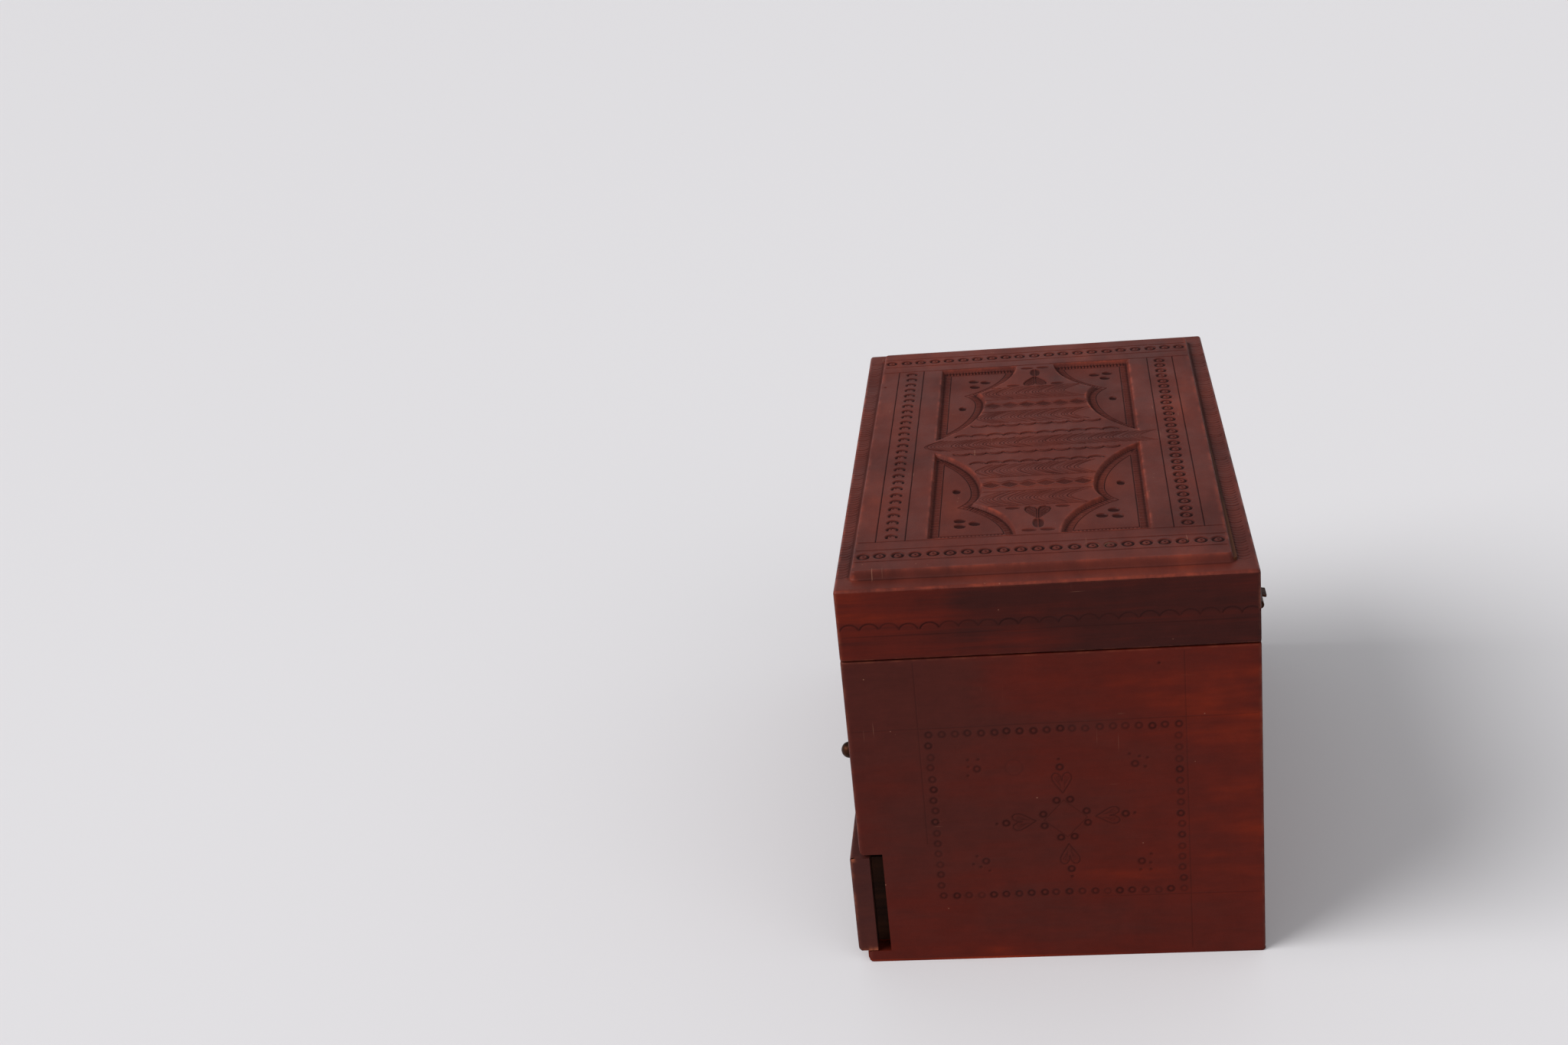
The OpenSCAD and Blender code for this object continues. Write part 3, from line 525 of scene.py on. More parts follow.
def pressFlat(places, prints, swell, seed):
    mesh = bpy.data.meshes.new("flat")
    mesh.from_pydata([], [], [])
    mesh.vertices.add(len(places))
    flat = np.column_stack([places, np.zeros(len(places))])
    mesh.vertices.foreach_set("co", flat.ravel())
    thing = bpy.data.objects.new("flat", mesh)
    bpy.context.scene.collection.objects.link(thing)
    useTree(thing, pressTree, {"Lines": prints.lines, "Pits": prints.pits, "Swell": swell,
                               "Seed": float(seed)})
    view = bpy.context.evaluated_depsgraph_get()
    pressed = bpy.data.meshes.new_from_object(thing.evaluated_get(view), depsgraph=view)
    place = np.zeros(len(places) * 3)
    pressed.vertices.foreach_get("co", place)
    mark = np.zeros(len(places))
    pressed.attributes["pressed"].data.foreach_get("value", mark)
    bpy.data.objects.remove(thing)
    bpy.data.meshes.remove(pressed)
    return place.reshape(-1, 3)[:, 2], mark


def flatGrid(sheet):
    # Key lines and grid lines of the flat sheet, the middles of its cells, and which of them it covers
    keys = []
    for near, far, more in (("left", "right", "keysU"), ("bottom", "top", "keysV")):
        low, high = sheet[near], sheet[far]
        ends = (low["edge"] - flatEnd(low), high["edge"] + flatEnd(high))
        keys.append(sorted({*ends, *sheet.get(more, ())}))
    cell = sheet.get("cell", sheetCells["upright"])
    lines = [gridLines(key, cell) for key in keys]
    gridU, gridV = np.meshgrid(*[(line[1:] + line[:-1]) / 2 for line in lines], indexing="ij")
    domain = (gridU < keys[0][-1]) & (gridV < keys[1][-1])
    for u0, u1, v0, v1 in sheet.get("cuts", ()):
        domain &= ~((gridU > u0) & (gridU < u1) & (gridV > v0) & (gridV < v1))
    return keys, lines, gridU, gridV, domain


def fineCells(sheet, prints, lines, gridU, gridV):
    # Cells of the finest size: under a stamp, or where the form is steep
    fine = np.zeros(gridU.shape, bool)
    spots = prints.edgesAndSpots()
    if len(spots):
        i, j = (np.searchsorted(line, spots[:, axis]) - 1 for axis, line in enumerate(lines))
        real = (i >= 0) & (j >= 0) & (i < fine.shape[0]) & (j < fine.shape[1])
        fine[i[real], j[real]] = True
        fine = spread(fine, 3)
    if "form" in sheet:
        height = sheet["form"](gridU, gridV)[0]
        slope = np.zeros(height.shape)
        slope[1:] = np.abs(np.diff(height, axis=0))
        slope[:, 1:] = np.maximum(slope[:, 1:], np.abs(np.diff(height, axis=1)))
        fine |= spread(slope > sheetCells["steepest"])
    return fine


def rimCells(sheet, gridU, gridV, margin=0.3, past=0.7):
    # Cells of a middling size, over the rounded edges
    left, right, bottom, top = (sheet[side] for side in ("left", "right", "bottom", "top"))
    rim = (gridU > right["edge"] - right["radius"] - margin)
    rim |= (gridU < left["edge"] + left["radius"] + margin)
    rim |= (gridV > top["edge"] - top["radius"] - margin)
    rim |= (gridV < bottom["edge"] + bottom["radius"] + margin)
    rim &= ~(gridV > top["edge"] + top["radius"] * (top["turn"] - 1) + past)
    rim &= ~(gridV < bottom["edge"] - bottom["radius"] * (bottom["turn"] - 1) - past)
    return rim


def sheetShell(leaves, domain, shape):
    # Faces of the front, of the back and of the rim between them, and the grid corners of front and back
    used = cornersUsed(leaves, shape)
    inside = np.pad(domain, 1).astype(int)
    around = inside[1:, 1:] + inside[:-1, 1:] + inside[1:, :-1] + inside[:-1, :-1]
    border = (around > 0) & (around < 4)
    plain = np.zeros_like(domain)
    backLeaves = leafCells(plain, plain, domain)
    backUsed = cornersUsed(backLeaves, shape) | (used & border)
    number = -np.ones(shape, int)
    number[used] = np.arange(used.sum())
    backNumber = -np.ones(shape, int)
    backNumber[backUsed] = np.arange(backUsed.sum()) + used.sum()
    faces = leafFaces(leaves, used, number)
    sizes = np.array([len(face) for face in faces])
    loops = np.concatenate([np.array(face) for face in faces])
    ends = np.cumsum(sizes)
    following = np.roll(loops, -1)
    following[ends - 1] = loops[ends - sizes]
    width = used.sum() + 1
    loose = ~np.isin(loops * width + following, following * width + loops)
    front = np.argwhere(used)
    for a, b in zip(loops[loose].tolist(), following[loose].tolist()):
        faces.append([a, backNumber[tuple(front[a])], backNumber[tuple(front[b])], b])
    faces += [face[::-1] for face in leafFaces(backLeaves, backUsed, backNumber)]
    return faces, front, np.argwhere(backUsed)


def bendSheet(sheet, flatU, flatV, lift):
    # Carries the flat sheet over its rounded edges, with the turn of each point across and along
    u, dropU, turnU = bend(flatU, sheet["left"], sheet["right"])
    v, dropV, turnV = bend(flatV, sheet["bottom"], sheet["top"])
    sinU, sinV = np.sin(turnU), np.sin(turnV)
    drop = dropU + dropV
    if "ballCorners" in sheet:
        roundCorners(sheet, flatU, flatV, (u, v, drop, sinU, sinV))
    if "outline" in sheet:
        u, drop = followOutline(sheet, u, v, drop, dropV)
    upright = np.sqrt(np.clip(1 - sinU ** 2 - sinV ** 2, 0, 1))
    upright = np.where((np.abs(turnV) > 1.5) | (np.abs(turnU) > 1.5), 0, upright)
    across, along = np.array(sheet["across"], float), np.array(sheet["along"], float)
    points = np.array(sheet["origin"], float)
    points = points + np.outer(u + sinU * lift, across) + np.outer(v + sinV * lift, along)
    return points + np.outer(upright * lift - drop, np.cross(across, along)), turnU, turnV


def rubbedArc(turn, middle, reach=0.4):
    # A rounded edge is rubbed most where it has turned about half way
    return np.exp(-((np.abs(turn) - middle) / reach) ** 2) * (np.abs(turn) > 0.05)


def leatherSheet(sheet, prints, seed):
    # Makes one sheet from its plan: points in mm, faces and the marks that the finish reads
    (keysU, keysV), lines, gridU, gridV, domain = flatGrid(sheet)
    fine = fineCells(sheet, prints, lines, gridU, gridV)
    leaves = leafCells(fine, rimCells(sheet, gridU, gridV), domain)
    faces, front, back = sheetShell(leaves, domain, (len(lines[0]), len(lines[1])))
    frontU, frontV = lines[0][front[:, 0]], lines[1][front[:, 1]]
    count = len(front)
    offset, pressed = pressFlat(np.column_stack([frontU, frontV]), prints, sheet["swell"], seed)
    gaps = (frontU - keysU[0], keysU[-1] - frontU, frontV - keysV[0], keysV[-1] - frontV)
    calm = np.minimum.reduce([np.clip(gap / calmReach, 0, 1) for gap in gaps])
    if "form" in sheet:
        shape, worn, hollowShade = sheet["form"](frontU, frontV)
        height = offset + shape - offset * (1 - calm)
    else:
        worn, hollowShade = np.zeros(count), np.zeros(count)
        height = np.minimum(offset, 0.0) * calm
    flatU = np.concatenate([frontU, lines[0][back[:, 0]]])
    flatV = np.concatenate([frontV, lines[1][back[:, 1]]])
    lift = np.concatenate([height, np.full(len(back), -sheetThick)])
    points, turnU, turnV = bendSheet(sheet, flatU, flatV, lift)
    for chipU, chipV, chipReach in sheet.get("chips", ()):
        near = np.exp(-((frontU - chipU) ** 2 + (frontV - chipV) ** 2) / chipReach ** 2)
        worn = np.maximum(worn, chipWear * near)
    arcs = np.maximum(rubbedArc(turnU[:count], 0.75), rubbedArc(turnV[:count], 0.7))
    hidden = np.zeros(len(back))
    # Marks for the finish: pressing, worn edges and chips with painted highlight on the lid's rims, and
    # painted shade in hollows
    marks = {"pressed": pressed, "worn": np.maximum(worn, arcs), "hollowShade": hollowShade}
    return points, faces, {label: np.concatenate([mark, hidden]) for label, mark in marks.items()}


def roundCorners(sheet, flatU, flatV, bent):
    # Turns the square meeting of two rounded edges into part of a ball
    u, v, drop, sinU, sinV = bent
    radius = sheet["right"]["radius"]
    reach = radius * sheet["right"]["turn"]
    for sideU, signU in ((sheet["right"], 1), (sheet["left"], -1)):
        for sideV, signV in ((sheet["top"], 1), (sheet["bottom"], -1)):
            startU, startV = sideU["edge"] * signU - radius, sideV["edge"] * signV - radius
            du, dv = flatU * signU - startU, flatV * signV - startV
            here = (du > 0) & (dv > 0)
            du, dv = du[here], dv[here]
            rho = np.maximum(du, dv)
            around = np.where(du >= dv, math.pi / 4 * dv / np.maximum(rho, 1e-9),
                              math.pi / 2 - math.pi / 4 * du / np.maximum(rho, 1e-9))
            angle = np.minimum(rho, reach) / radius
            u[here] = signU * (startU + radius * np.sin(angle) * np.cos(around))
            v[here] = signV * (startV + radius * np.sin(angle) * np.sin(around))
            drop[here] = radius * (1 - np.cos(angle))
            sinU[here] = signU * np.sin(angle) * np.cos(around)
            sinV[here] = signV * np.sin(angle) * np.sin(around)


def followOutline(sheet, u, v, drop, dropV):
    # Draws the sheet in where the box itself is rounded at its base and beside the notch
    lowest, highest = sheet["outline"](v)
    for side, sign, limit in ((sheet["right"], 1, highest), (sheet["left"], -1, lowest)):
        full = side["edge"] * sign
        inner = full - sheet["reach"]
        here = u * sign > inner
        u[here] = sign * (inner + (u[here] * sign - inner) * (limit[here] * sign - inner) / (full - inner))
        past = np.clip(u * sign - (full - side["radius"]), 0, side["radius"])
        fresh = side["radius"] - np.sqrt(side["radius"] ** 2 - past ** 2)
        drop = np.where(here, fresh + dropV, drop)
    return u, drop


def makePiece(name, parts, finish, body, replaced, split=None):
    # Joins sheets into one object, or into several where a cut along one axis keeps each small enough
    points = np.concatenate([part[0] for part in parts]) * mm
    faces, start = [], 0
    for part in parts:
        faces += [[start + p for p in face] for face in part[1]] if start else part[1]
        start += len(part[0])
    marks = {label: np.concatenate([part[2][label] for part in parts]) for label in parts[0][2]}
    cuts = [-np.inf] + [c * mm for c in (split or [])] + [np.inf]
    if split:
        middles = np.array([points[face[0], 0] + points[face[len(face) // 2], 0] for face in faces]) / 2
    pieces = []
    for place, (low, high) in enumerate(zip(cuts, cuts[1:])):
        chosen = faces
        if split:
            chosen = [faces[k] for k in np.flatnonzero((middles >= low) & (middles < high))]
        held = np.unique(np.concatenate([np.array(face) for face in chosen]))
        fresh = np.zeros(len(points), int)
        fresh[held] = np.arange(len(held))
        fresh = fresh.tolist()
        mesh = bpy.data.meshes.new(name)
        mesh.from_pydata(points[held].tolist(), [], [[fresh[p] for p in face] for face in chosen])
        for label, values in marks.items():
            layer = mesh.attributes.new(label, "FLOAT", "POINT")
            layer.data.foreach_set("value", values[held].astype(np.float32))
        mesh.polygons.foreach_set("use_smooth", [True] * len(mesh.polygons))
        mesh.set_sharp_from_angle(angle=sharpAngle)
        mesh.materials.append(finish)
        thing = bpy.data.objects.new(name if not split else f"{name}_{place + 1}", mesh)
        bpy.context.scene.collection.objects.link(thing)
        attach(thing, body)
        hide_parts(*replaced)
        triangles = sum(len(p.vertices) - 2 for p in mesh.polygons)
        print("piece", thing.name, "triangles", triangles)
        pieces.append(thing)
    return pieces


# Materials

def buildDyeGroup():
    # Uneven dye: deep and warm clouds with fine streaks along the sheet
    tree, given, result = newTree("unevenDye", "ShaderNodeTree", [
        ("Vector", "NodeSocketVector", None), ("Deep", "NodeSocketColor", None),
        ("Middle", "NodeSocketColor", None), ("Warm", "NodeSocketColor", None),
        ("Cloud Scale", "NodeSocketFloat", 14.0), ("Streak Stretch", "NodeSocketVector", (1, 1, 1)),
        ("Streak", "NodeSocketFloat", 0.3), ("Mottle", "NodeSocketFloat", 0.5),
        ("Pull", "NodeSocketFloat", 0.0)],
        [("Color", "NodeSocketColor"), ("Fleck", "NodeSocketFloat")])
    vector = given.outputs["Vector"]
    stretched = addNode(tree, "ShaderNodeVectorMath", {0: vector, 1: given.outputs["Streak Stretch"]},
                        operation="MULTIPLY").outputs[0]
    cloud = noise(tree, vector, given.outputs["Cloud Scale"], 4.0, 0.55)
    broad = noise(tree, stretched, 9.0, 3.0, 0.6)
    streak = noise(tree, stretched, 60.0, 3.0, 0.65)
    mottle = noise(tree, vector, 70.0, 5.0, 0.7)
    lean = calc(tree, "ADD", calc(tree, "MULTIPLY", cloud, 0.6), calc(tree, "MULTIPLY", broad, 0.4))
    lean = calc(tree, "ADD", lean, given.outputs["Pull"])
    colour = mixColour(tree, ease(tree, lean, 0.32, 0.54), given.outputs["Deep"], given.outputs["Middle"])
    colour = mixColour(tree, ease(tree, lean, 0.5, 0.76), colour, given.outputs["Warm"])
    shade = calc(tree, "MULTIPLY", calc(tree, "SUBTRACT", streak, 0.5), given.outputs["Streak"])
    spots = calc(tree, "MULTIPLY", calc(tree, "SUBTRACT", mottle, 0.5), given.outputs["Mottle"])
    shade = calc(tree, "ADD", calc(tree, "ADD", shade, spots), 1.0)
    grey = addNode(tree, "ShaderNodeCombineColor", {0: shade, 1: shade, 2: shade}).outputs[0]
    colour = mixColour(tree, 1.0, colour, grey, "MULTIPLY")
    tree.links.new(colour, result.inputs[0])
    tree.links.new(streak, result.inputs[1])
    return tree


def buildGrainGroup():
    # Height of the leather's own surface: pores, fine creases and hair-line streaks
    tree, given, result = newTree("leatherGrain", "ShaderNodeTree", [
        ("Vector", "NodeSocketVector", None), ("Pore Scale", "NodeSocketFloat", 1400.0),
        ("Crease Scale", "NodeSocketFloat", 260.0), ("Pores", "NodeSocketFloat", 0.5),
        ("Creases", "NodeSocketFloat", 0.5)], [("Height", "NodeSocketFloat")])
    pores = addNode(tree, "ShaderNodeTexVoronoi",
                    {"Vector": given.outputs["Vector"], "Scale": given.outputs["Pore Scale"]}).outputs[0]
    creases = noise(tree, given.outputs["Vector"], given.outputs["Crease Scale"], 5.0, 0.65)
    height = calc(tree, "ADD", calc(tree, "MULTIPLY", pores, given.outputs["Pores"]),
                  calc(tree, "MULTIPLY", creases, given.outputs["Creases"]))
    tree.links.new(height, result.inputs[0])
    return tree


def buildWearAndLightGroup():
    # Rubbed edges, which also carry painted highlight, small scratches and pale specks, each as a mask
    tree, given, result = newTree("rubbedWearAndLight", "ShaderNodeTree", [
        ("Vector", "NodeSocketVector", None), ("Edge", "NodeSocketFloat", 0.0),
        ("Rub And Lit", "NodeSocketFloat", 0.6), ("Scratch", "NodeSocketFloat", 0.5),
        ("Specks", "NodeSocketFloat", 0.5)],
        [("Rubbed And Lit", "NodeSocketFloat"), ("Scratched", "NodeSocketFloat"), ("Speck", "NodeSocketFloat")])
    vector = given.outputs["Vector"]
    patch = noise(tree, vector, 120.0, 4.0, 0.6)
    rubbedAndLit = calc(tree, "MULTIPLY", given.outputs["Edge"], ease(tree, patch, 0.4, 0.68))
    rubbedAndLit = calc(tree, "MULTIPLY", rubbedAndLit, given.outputs["Rub And Lit"], True)
    lines = []
    for stretch, offset in (((6.0, 14.0, 420.0), (0, 0, 0)), ((14.0, 330.0, 9.0), (3, 7, 1))):
        hairs = noise(tree, scaled(tree, vector, stretch, offset), 3.0, 2.0, 0.5)
        lines.append(ease(tree, hairs, 0.7, 0.76))
    gate = ease(tree, noise(tree, vector, 24.0, 2.0), 0.58, 0.7)
    scratched = calc(tree, "MULTIPLY", calc(tree, "MAXIMUM", lines[0], lines[1]), gate)
    scratched = calc(tree, "MULTIPLY", scratched, given.outputs["Scratch"])
    cells = addNode(tree, "ShaderNodeTexVoronoi", {"Vector": vector, "Scale": 260.0}).outputs[0]
    few = ease(tree, noise(tree, vector, 60.0, 2.0), 0.66, 0.7)
    speck = calc(tree, "MULTIPLY", calc(tree, "MULTIPLY", ease(tree, cells, 0.12, 0.06), few),
                 given.outputs["Specks"])
    for place, mask in enumerate((rubbedAndLit, scratched, speck)):
        tree.links.new(mask, result.inputs[place])
    return tree


dyeGroup = buildDyeGroup()
grainGroup = buildGrainGroup()
wearAndLightGroup = buildWearAndLightGroup()


def newMaterial(name):
    material = bpy.data.materials.new(name)
    material.use_nodes = True
    tree = material.node_tree
    shader = tree.nodes["Principled BSDF"]
    place = addNode(tree, "ShaderNodeTexCoord").outputs["Object"]
    return material, tree, shader, place


def marked(tree, label):
    return addNode(tree, "ShaderNodeAttribute", attribute_name=label).outputs["Fac"]


def setShader(shader, **numbers):
    for label, value in numbers.items():
        shader.inputs[label.replace("_", " ")].default_value = value


def bumped(tree, shader, height, strength, depth):
    node = addNode(tree, "ShaderNodeBump", {"Strength": strength, "Distance": depth, "Height": height})
    tree.links.new(node.outputs[0], shader.inputs["Normal"])


def leatherMaterial(name, finish):
    # Cloudy dye, dark where it is stamped (partly the pressed leather's own dark, partly painted shade in
    # the grooves) and painted shade in the hollows, pale where it is rubbed and where rims carry a painted
    # highlight, over a fine grain
    material, tree, shader, place = newMaterial(name)
    dye = addNode(tree, "ShaderNodeGroup", {
        "Vector": place, "Deep": srgb(*finish["deep"]), "Middle": srgb(*finish["middle"]),
        "Warm": srgb(*finish["warm"]), "Cloud Scale": finish["clouds"], "Streak": finish["streak"],
        "Streak Stretch": finish["stretch"], "Mottle": finish["mottle"]}, node_tree=dyeGroup)
    if "dyeAndLightTowards" in finish:
        # The colour is warmer towards one corner of the face: partly uneven dye, partly painted light where
        # the face is lit more
        direction, low, high, amount = finish["dyeAndLightTowards"]
        reach = addNode(tree, "ShaderNodeVectorMath", {0: place, 1: direction}, operation="DOT_PRODUCT")
        pull = ease(tree, reach.outputs["Value"], low, high, -amount, amount)
        tree.links.new(pull, dye.inputs["Pull"])
    pressed, hollowShade = marked(tree, "pressed"), marked(tree, "hollowShade")
    dark, pale = srgb(*finish["pressed"]), srgb(*finish["scratched"])
    pressDark = calc(tree, "MULTIPLY", pressed, finish["pressDark"])
    # Painted shade: the lid's hollows and the notch strip are darkened towards the pressed colour
    hollowShadeDark = calc(tree, "MULTIPLY", hollowShade, finish["hollowShadeDark"], True)
    colour = mixColour(tree, pressDark, dye.outputs["Color"], dark)
    colour = mixColour(tree, hollowShadeDark, colour, dark)
    # The worn mark is rubbed edges and chips, with painted highlight on the lid's rims and window walls
    wearAndLight = addNode(tree, "ShaderNodeGroup", {
        "Vector": place, "Edge": marked(tree, "worn"), "Rub And Lit": finish["rubAndLit"], "Scratch": finish["scratch"],
        "Specks": finish["specks"]}, node_tree=wearAndLightGroup)
    colour = mixColour(tree, wearAndLight.outputs["Rubbed And Lit"], colour, srgb(*finish["rubbedAndLit"]))
    colour = mixColour(tree, wearAndLight.outputs["Scratched"], colour, pale)
    colour = mixColour(tree, wearAndLight.outputs["Speck"], colour, pale)
    tree.links.new(colour, shader.inputs["Base Color"])
    patch = noise(tree, place, 40.0, 3.0)
    rough = ease(tree, patch, 0.3, 0.7, finish["rough"] - 0.07, finish["rough"] + 0.09)
    rough = calc(tree, "ADD", rough, calc(tree, "MULTIPLY", calc(tree, "MAXIMUM", pressed, hollowShade), 0.3))
    rough = calc(tree, "SUBTRACT", rough, calc(tree, "MULTIPLY", wearAndLight.outputs["Rubbed And Lit"], 0.12))
    tree.links.new(rough, shader.inputs["Roughness"])
    grain = addNode(tree, "ShaderNodeGroup", {"Vector": place, "Pores": 0.35, "Creases": 0.5},
                    node_tree=grainGroup).outputs[0]
    height = calc(tree, "ADD", grain, calc(tree, "MULTIPLY", dye.outputs["Fleck"], 0.8))
    height = calc(tree, "SUBTRACT", height, wearAndLight.outputs["Scratched"])
    bumped(tree, shader, height, 0.35, finish["relief"])
    setShader(shader, Specular_IOR_Level=finish["gloss"])
    return material


dyed = {"deep": (52, 17, 13), "middle": (80, 21, 11), "warm": (124, 36, 6), "pressed": (30, 8, 8),
        "rubbedAndLit": (130, 68, 46), "scratched": (170, 120, 96), "rough": 0.48, "gloss": 0.1,
        "streak": 0.3, "clouds": 8.0, "mottle": 0.5, "hollowShadeDark": 0.75, "scratch": 0.4,
        "specks": 0.35, "relief": 0.00025}
lidDyed = {**dyed, "stretch": (1, 1, 16), "streak": 0.4, "rubAndLit": 0.5, "pressDark": 0.8}
caseDyed = {**dyed, "stretch": (1, 1, 6), "rubAndLit": 0.3, "pressDark": 0.62}
leatherFinish = {
    "tooled": {**dyed, "deep": (71, 30, 25), "middle": (91, 39, 31), "warm": (118, 50, 34),
               "rubbedAndLit": (152, 66, 46), "rough": 0.44, "stretch": (2, 6, 2), "streak": 0.2,
               "clouds": 11.0, "mottle": 0.35, "rubAndLit": 0.5, "pressDark": 1.0},
    # The ends warm towards one side, partly uneven dye and partly painted light
    "lidSide": {**lidDyed, "dyeAndLightTowards": ((0, -1, 0), -0.03, 0.1, 0.07)},
    "lidLong": lidDyed,
    "case": caseDyed,
    "rightEnd": {**caseDyed, "deep": (68, 25, 19), "warm": (134, 38, 5),
                 "dyeAndLightTowards": ((0, 0.8, 0.5), -0.03, 0.15, 0.15)},
    "drawer": {**dyed, "deep": (44, 20, 19), "middle": (60, 26, 23), "warm": (76, 32, 24),
               "pressed": (30, 12, 12), "stretch": (1, 1, 7), "rubAndLit": 0.7, "pressDark": 0.7},
}
leather = {name: leatherMaterial(name + "Leather", finish) for name, finish in leatherFinish.items()}
print("stage: leather finishes and stamp trees built")


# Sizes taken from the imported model, in mm
halfLength, halfWidth, baseTop = boxOf("base_leather")[1]
rimZ = boxOf("right_side_leather")[1][2]
lidLow, ledgeZ = boxOf("lid_right_leather")[0][2], boxOf("lid_right_leather")[1][2] + sheetThick
panelZ = boxOf("lid_top_leather")[1][2]
boardX, boardY = boxOf("front_leather")[1][0], boxOf("back_board")[1][1]
innerX = boxOf("well_front_lining")[1][0] + liningThick
sillZ = boxOf("drawer_bay_leather")[1][2]
bayTop = boxOf("front_leather")[0][2]
leatherThick = halfLength - boardX

# Radii of the rounded edges
edges = {"upright": 2.0, "base": 3.0, "lidTop": 1.8, "rim": 1.0, "notch": 1.5}
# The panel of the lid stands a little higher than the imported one, and lies slightly askew
panel = {"x": halfLength - 11, "y": halfWidth - 9, "corner": 3.0, "rise": panelZ - ledgeZ + 1.5,
         "wall": (-0.5, 2.1), "middleY": -0.8, "turn": math.radians(-0.42)}
window = {"x": 119.0, "y": 54.0, "depth": 1.9, "wall": (-0.7, 1.9), "sweep": (64.0, 99.92, 71.42),
          "curl": (64.0, 55.5, 27.0), "lobe": (121.0, 64.0, 53.0)}
# How strongly each rim is rubbed and lit by a painted highlight and each foot is darkened by painted shade,
# how far in that lies, and how wide it is; and the painted shade on the window floors
lidWearLightAndShade = {"panelRim": (0.6, 1.7, 0.9), "windowRim": (1.0, -0.4, 0.75), "panelFoot": (0.7, -0.7, 0.7),
           "windowFoot": (0.8, 1.6, 0.7), "windowFloor": 0.14}
quarter = math.pi / 2


def partTurn(radius, drop):
    return math.acos(1 - drop / radius)


uprightTurn = partTurn(edges["upright"], leatherThick)
uprightEdge = {"radius": edges["upright"], "turn": uprightTurn, "run": 0.0}


def smooth(t):
    t = np.clip(t, 0, 1)
    return t * t * t * (t * (t * 6 - 15) + 10)


def windowDepth(x, y, grow=0.0):
    # Distance inside the nearest window's outline, negative outside
    x, y = np.abs(x), np.abs(y)

    def circle(name):
        cx, cy, radius = window[name]
        return radius + grow - np.hypot(x - cx, y - cy)

    sweep = np.minimum(circle("sweep"), window["sweep"][0] - x)
    body = np.maximum(np.maximum(sweep, circle("curl")), circle("lobe"))
    return np.minimum(np.minimum(body, window["x"] + grow - x), window["y"] + grow - y)


def panelDepth(x, y):
    # Distance inside the raised panel's outline, negative outside
    r = panel["corner"]
    dx, dy = np.abs(x) - (panel["x"] - r), np.abs(y) - (panel["y"] - r)
    outside = np.hypot(np.maximum(dx, 0), np.maximum(dy, 0))
    return r - outside - np.minimum(np.maximum(dx, dy), 0)


def lidBand(distance, label):
    strength, middle, reach = lidWearLightAndShade[label]
    return strength * np.exp(-((distance - middle) / reach) ** 2)


def lidForm(x, y):
    # Raised panel and sunken windows, where their rims are rubbed and carry a painted highlight, and where
    # painted shade darkens their feet and the window floors
    ahead, aside, y = math.cos(panel["turn"]), math.sin(panel["turn"]), y - panel["middleY"]
    x, y = x * ahead + y * aside, y * ahead - x * aside
    side, hole = panelDepth(x, y), windowDepth(x, y)
    height = panel["rise"] * smooth((side - panel["wall"][0]) / panel["wall"][1])
    height = height - window["depth"] * smooth((hole - window["wall"][0]) / window["wall"][1])
    # The pale band on the window walls is mostly painted highlight, on the panel rim partly rubbing and
    # partly painted highlight; feet and window floors get painted shade
    worn = lidBand(side, "panelRim") + lidBand(hole, "windowRim")
    hollowShade = lidBand(side, "panelFoot") + lidBand(hole, "windowFoot")
    hollowShade = hollowShade + lidWearLightAndShade["windowFloor"] * smooth(hole / 2)
    return height, np.clip(worn, 0, 1), np.clip(hollowShade, 0, 1)


def windowPath(inset, sx, sy):
    # Curved side of a window, drawn in by the inset, from its tip to its outer end
    def place(name, angle):
        cx, cy, radius = window[name]
        return cx + (radius - inset) * math.cos(angle), cy + (radius - inset) * math.sin(angle)

    (x1, y1, r1), (x2, y2, r2) = window["curl"], window["lobe"]
    r1, r2 = r1 - inset, r2 - inset
    apart = math.hypot(x2 - x1, y2 - y1)
    along = (r1 * r1 - r2 * r2 + apart * apart) / (2 * apart)
    aside = math.sqrt(max(0.0, r1 * r1 - along * along))
    ux, uy = (x2 - x1) / apart, (y2 - y1) / apart
    cusp = (x1 + ux * along + uy * aside, y1 + uy * along - ux * aside)
    top = window["y"] - inset
    cx, cy, radius = window["sweep"]
    start = math.atan2(top - cy, -math.sqrt((radius - inset) ** 2 - (top - cy) ** 2))
    points = [place("sweep", a) for a in np.linspace(start + 2 * math.pi, 1.5 * math.pi, 25)]
    curlEnd = math.atan2(cusp[1] - y1, cusp[0] - x1)
    points += [place("curl", a) for a in np.linspace(-quarter, curlEnd, 12)][1:]
    outer = window["x"] - inset
    lobeStart = math.atan2(cusp[1] - y2, cusp[0] - x2)
    lobeEnd = math.atan2(-math.sqrt(r2 ** 2 - (outer - x2) ** 2), outer - x2)
    points += [place("lobe", a) for a in np.linspace(lobeStart, lobeEnd, 16)][1:]
    return [(sx * x, sy * y) for x, y in points]


def clearRun(x, shape, margin=0.8):
    # Lowest and highest place along Y where a stamp of this outline, set at x, keeps clear of the windows
    shape = np.array(shape)
    steps = np.arange(0.0, window["y"] + 4, 0.25)
    ends = []
    for way in (-1, 1):
        clear = [(windowDepth(x + shape[:, 0], way * y + shape[:, 1], margin) <= 0).all() for y in steps]
        ends.append(way * float(steps[clear.index(False) - 1] if False in clear else steps[-1]))
    return ends


def pathLength(path):
    path = np.array(path)
    return float(np.linalg.norm(np.diff(path, axis=0), axis=1).sum())


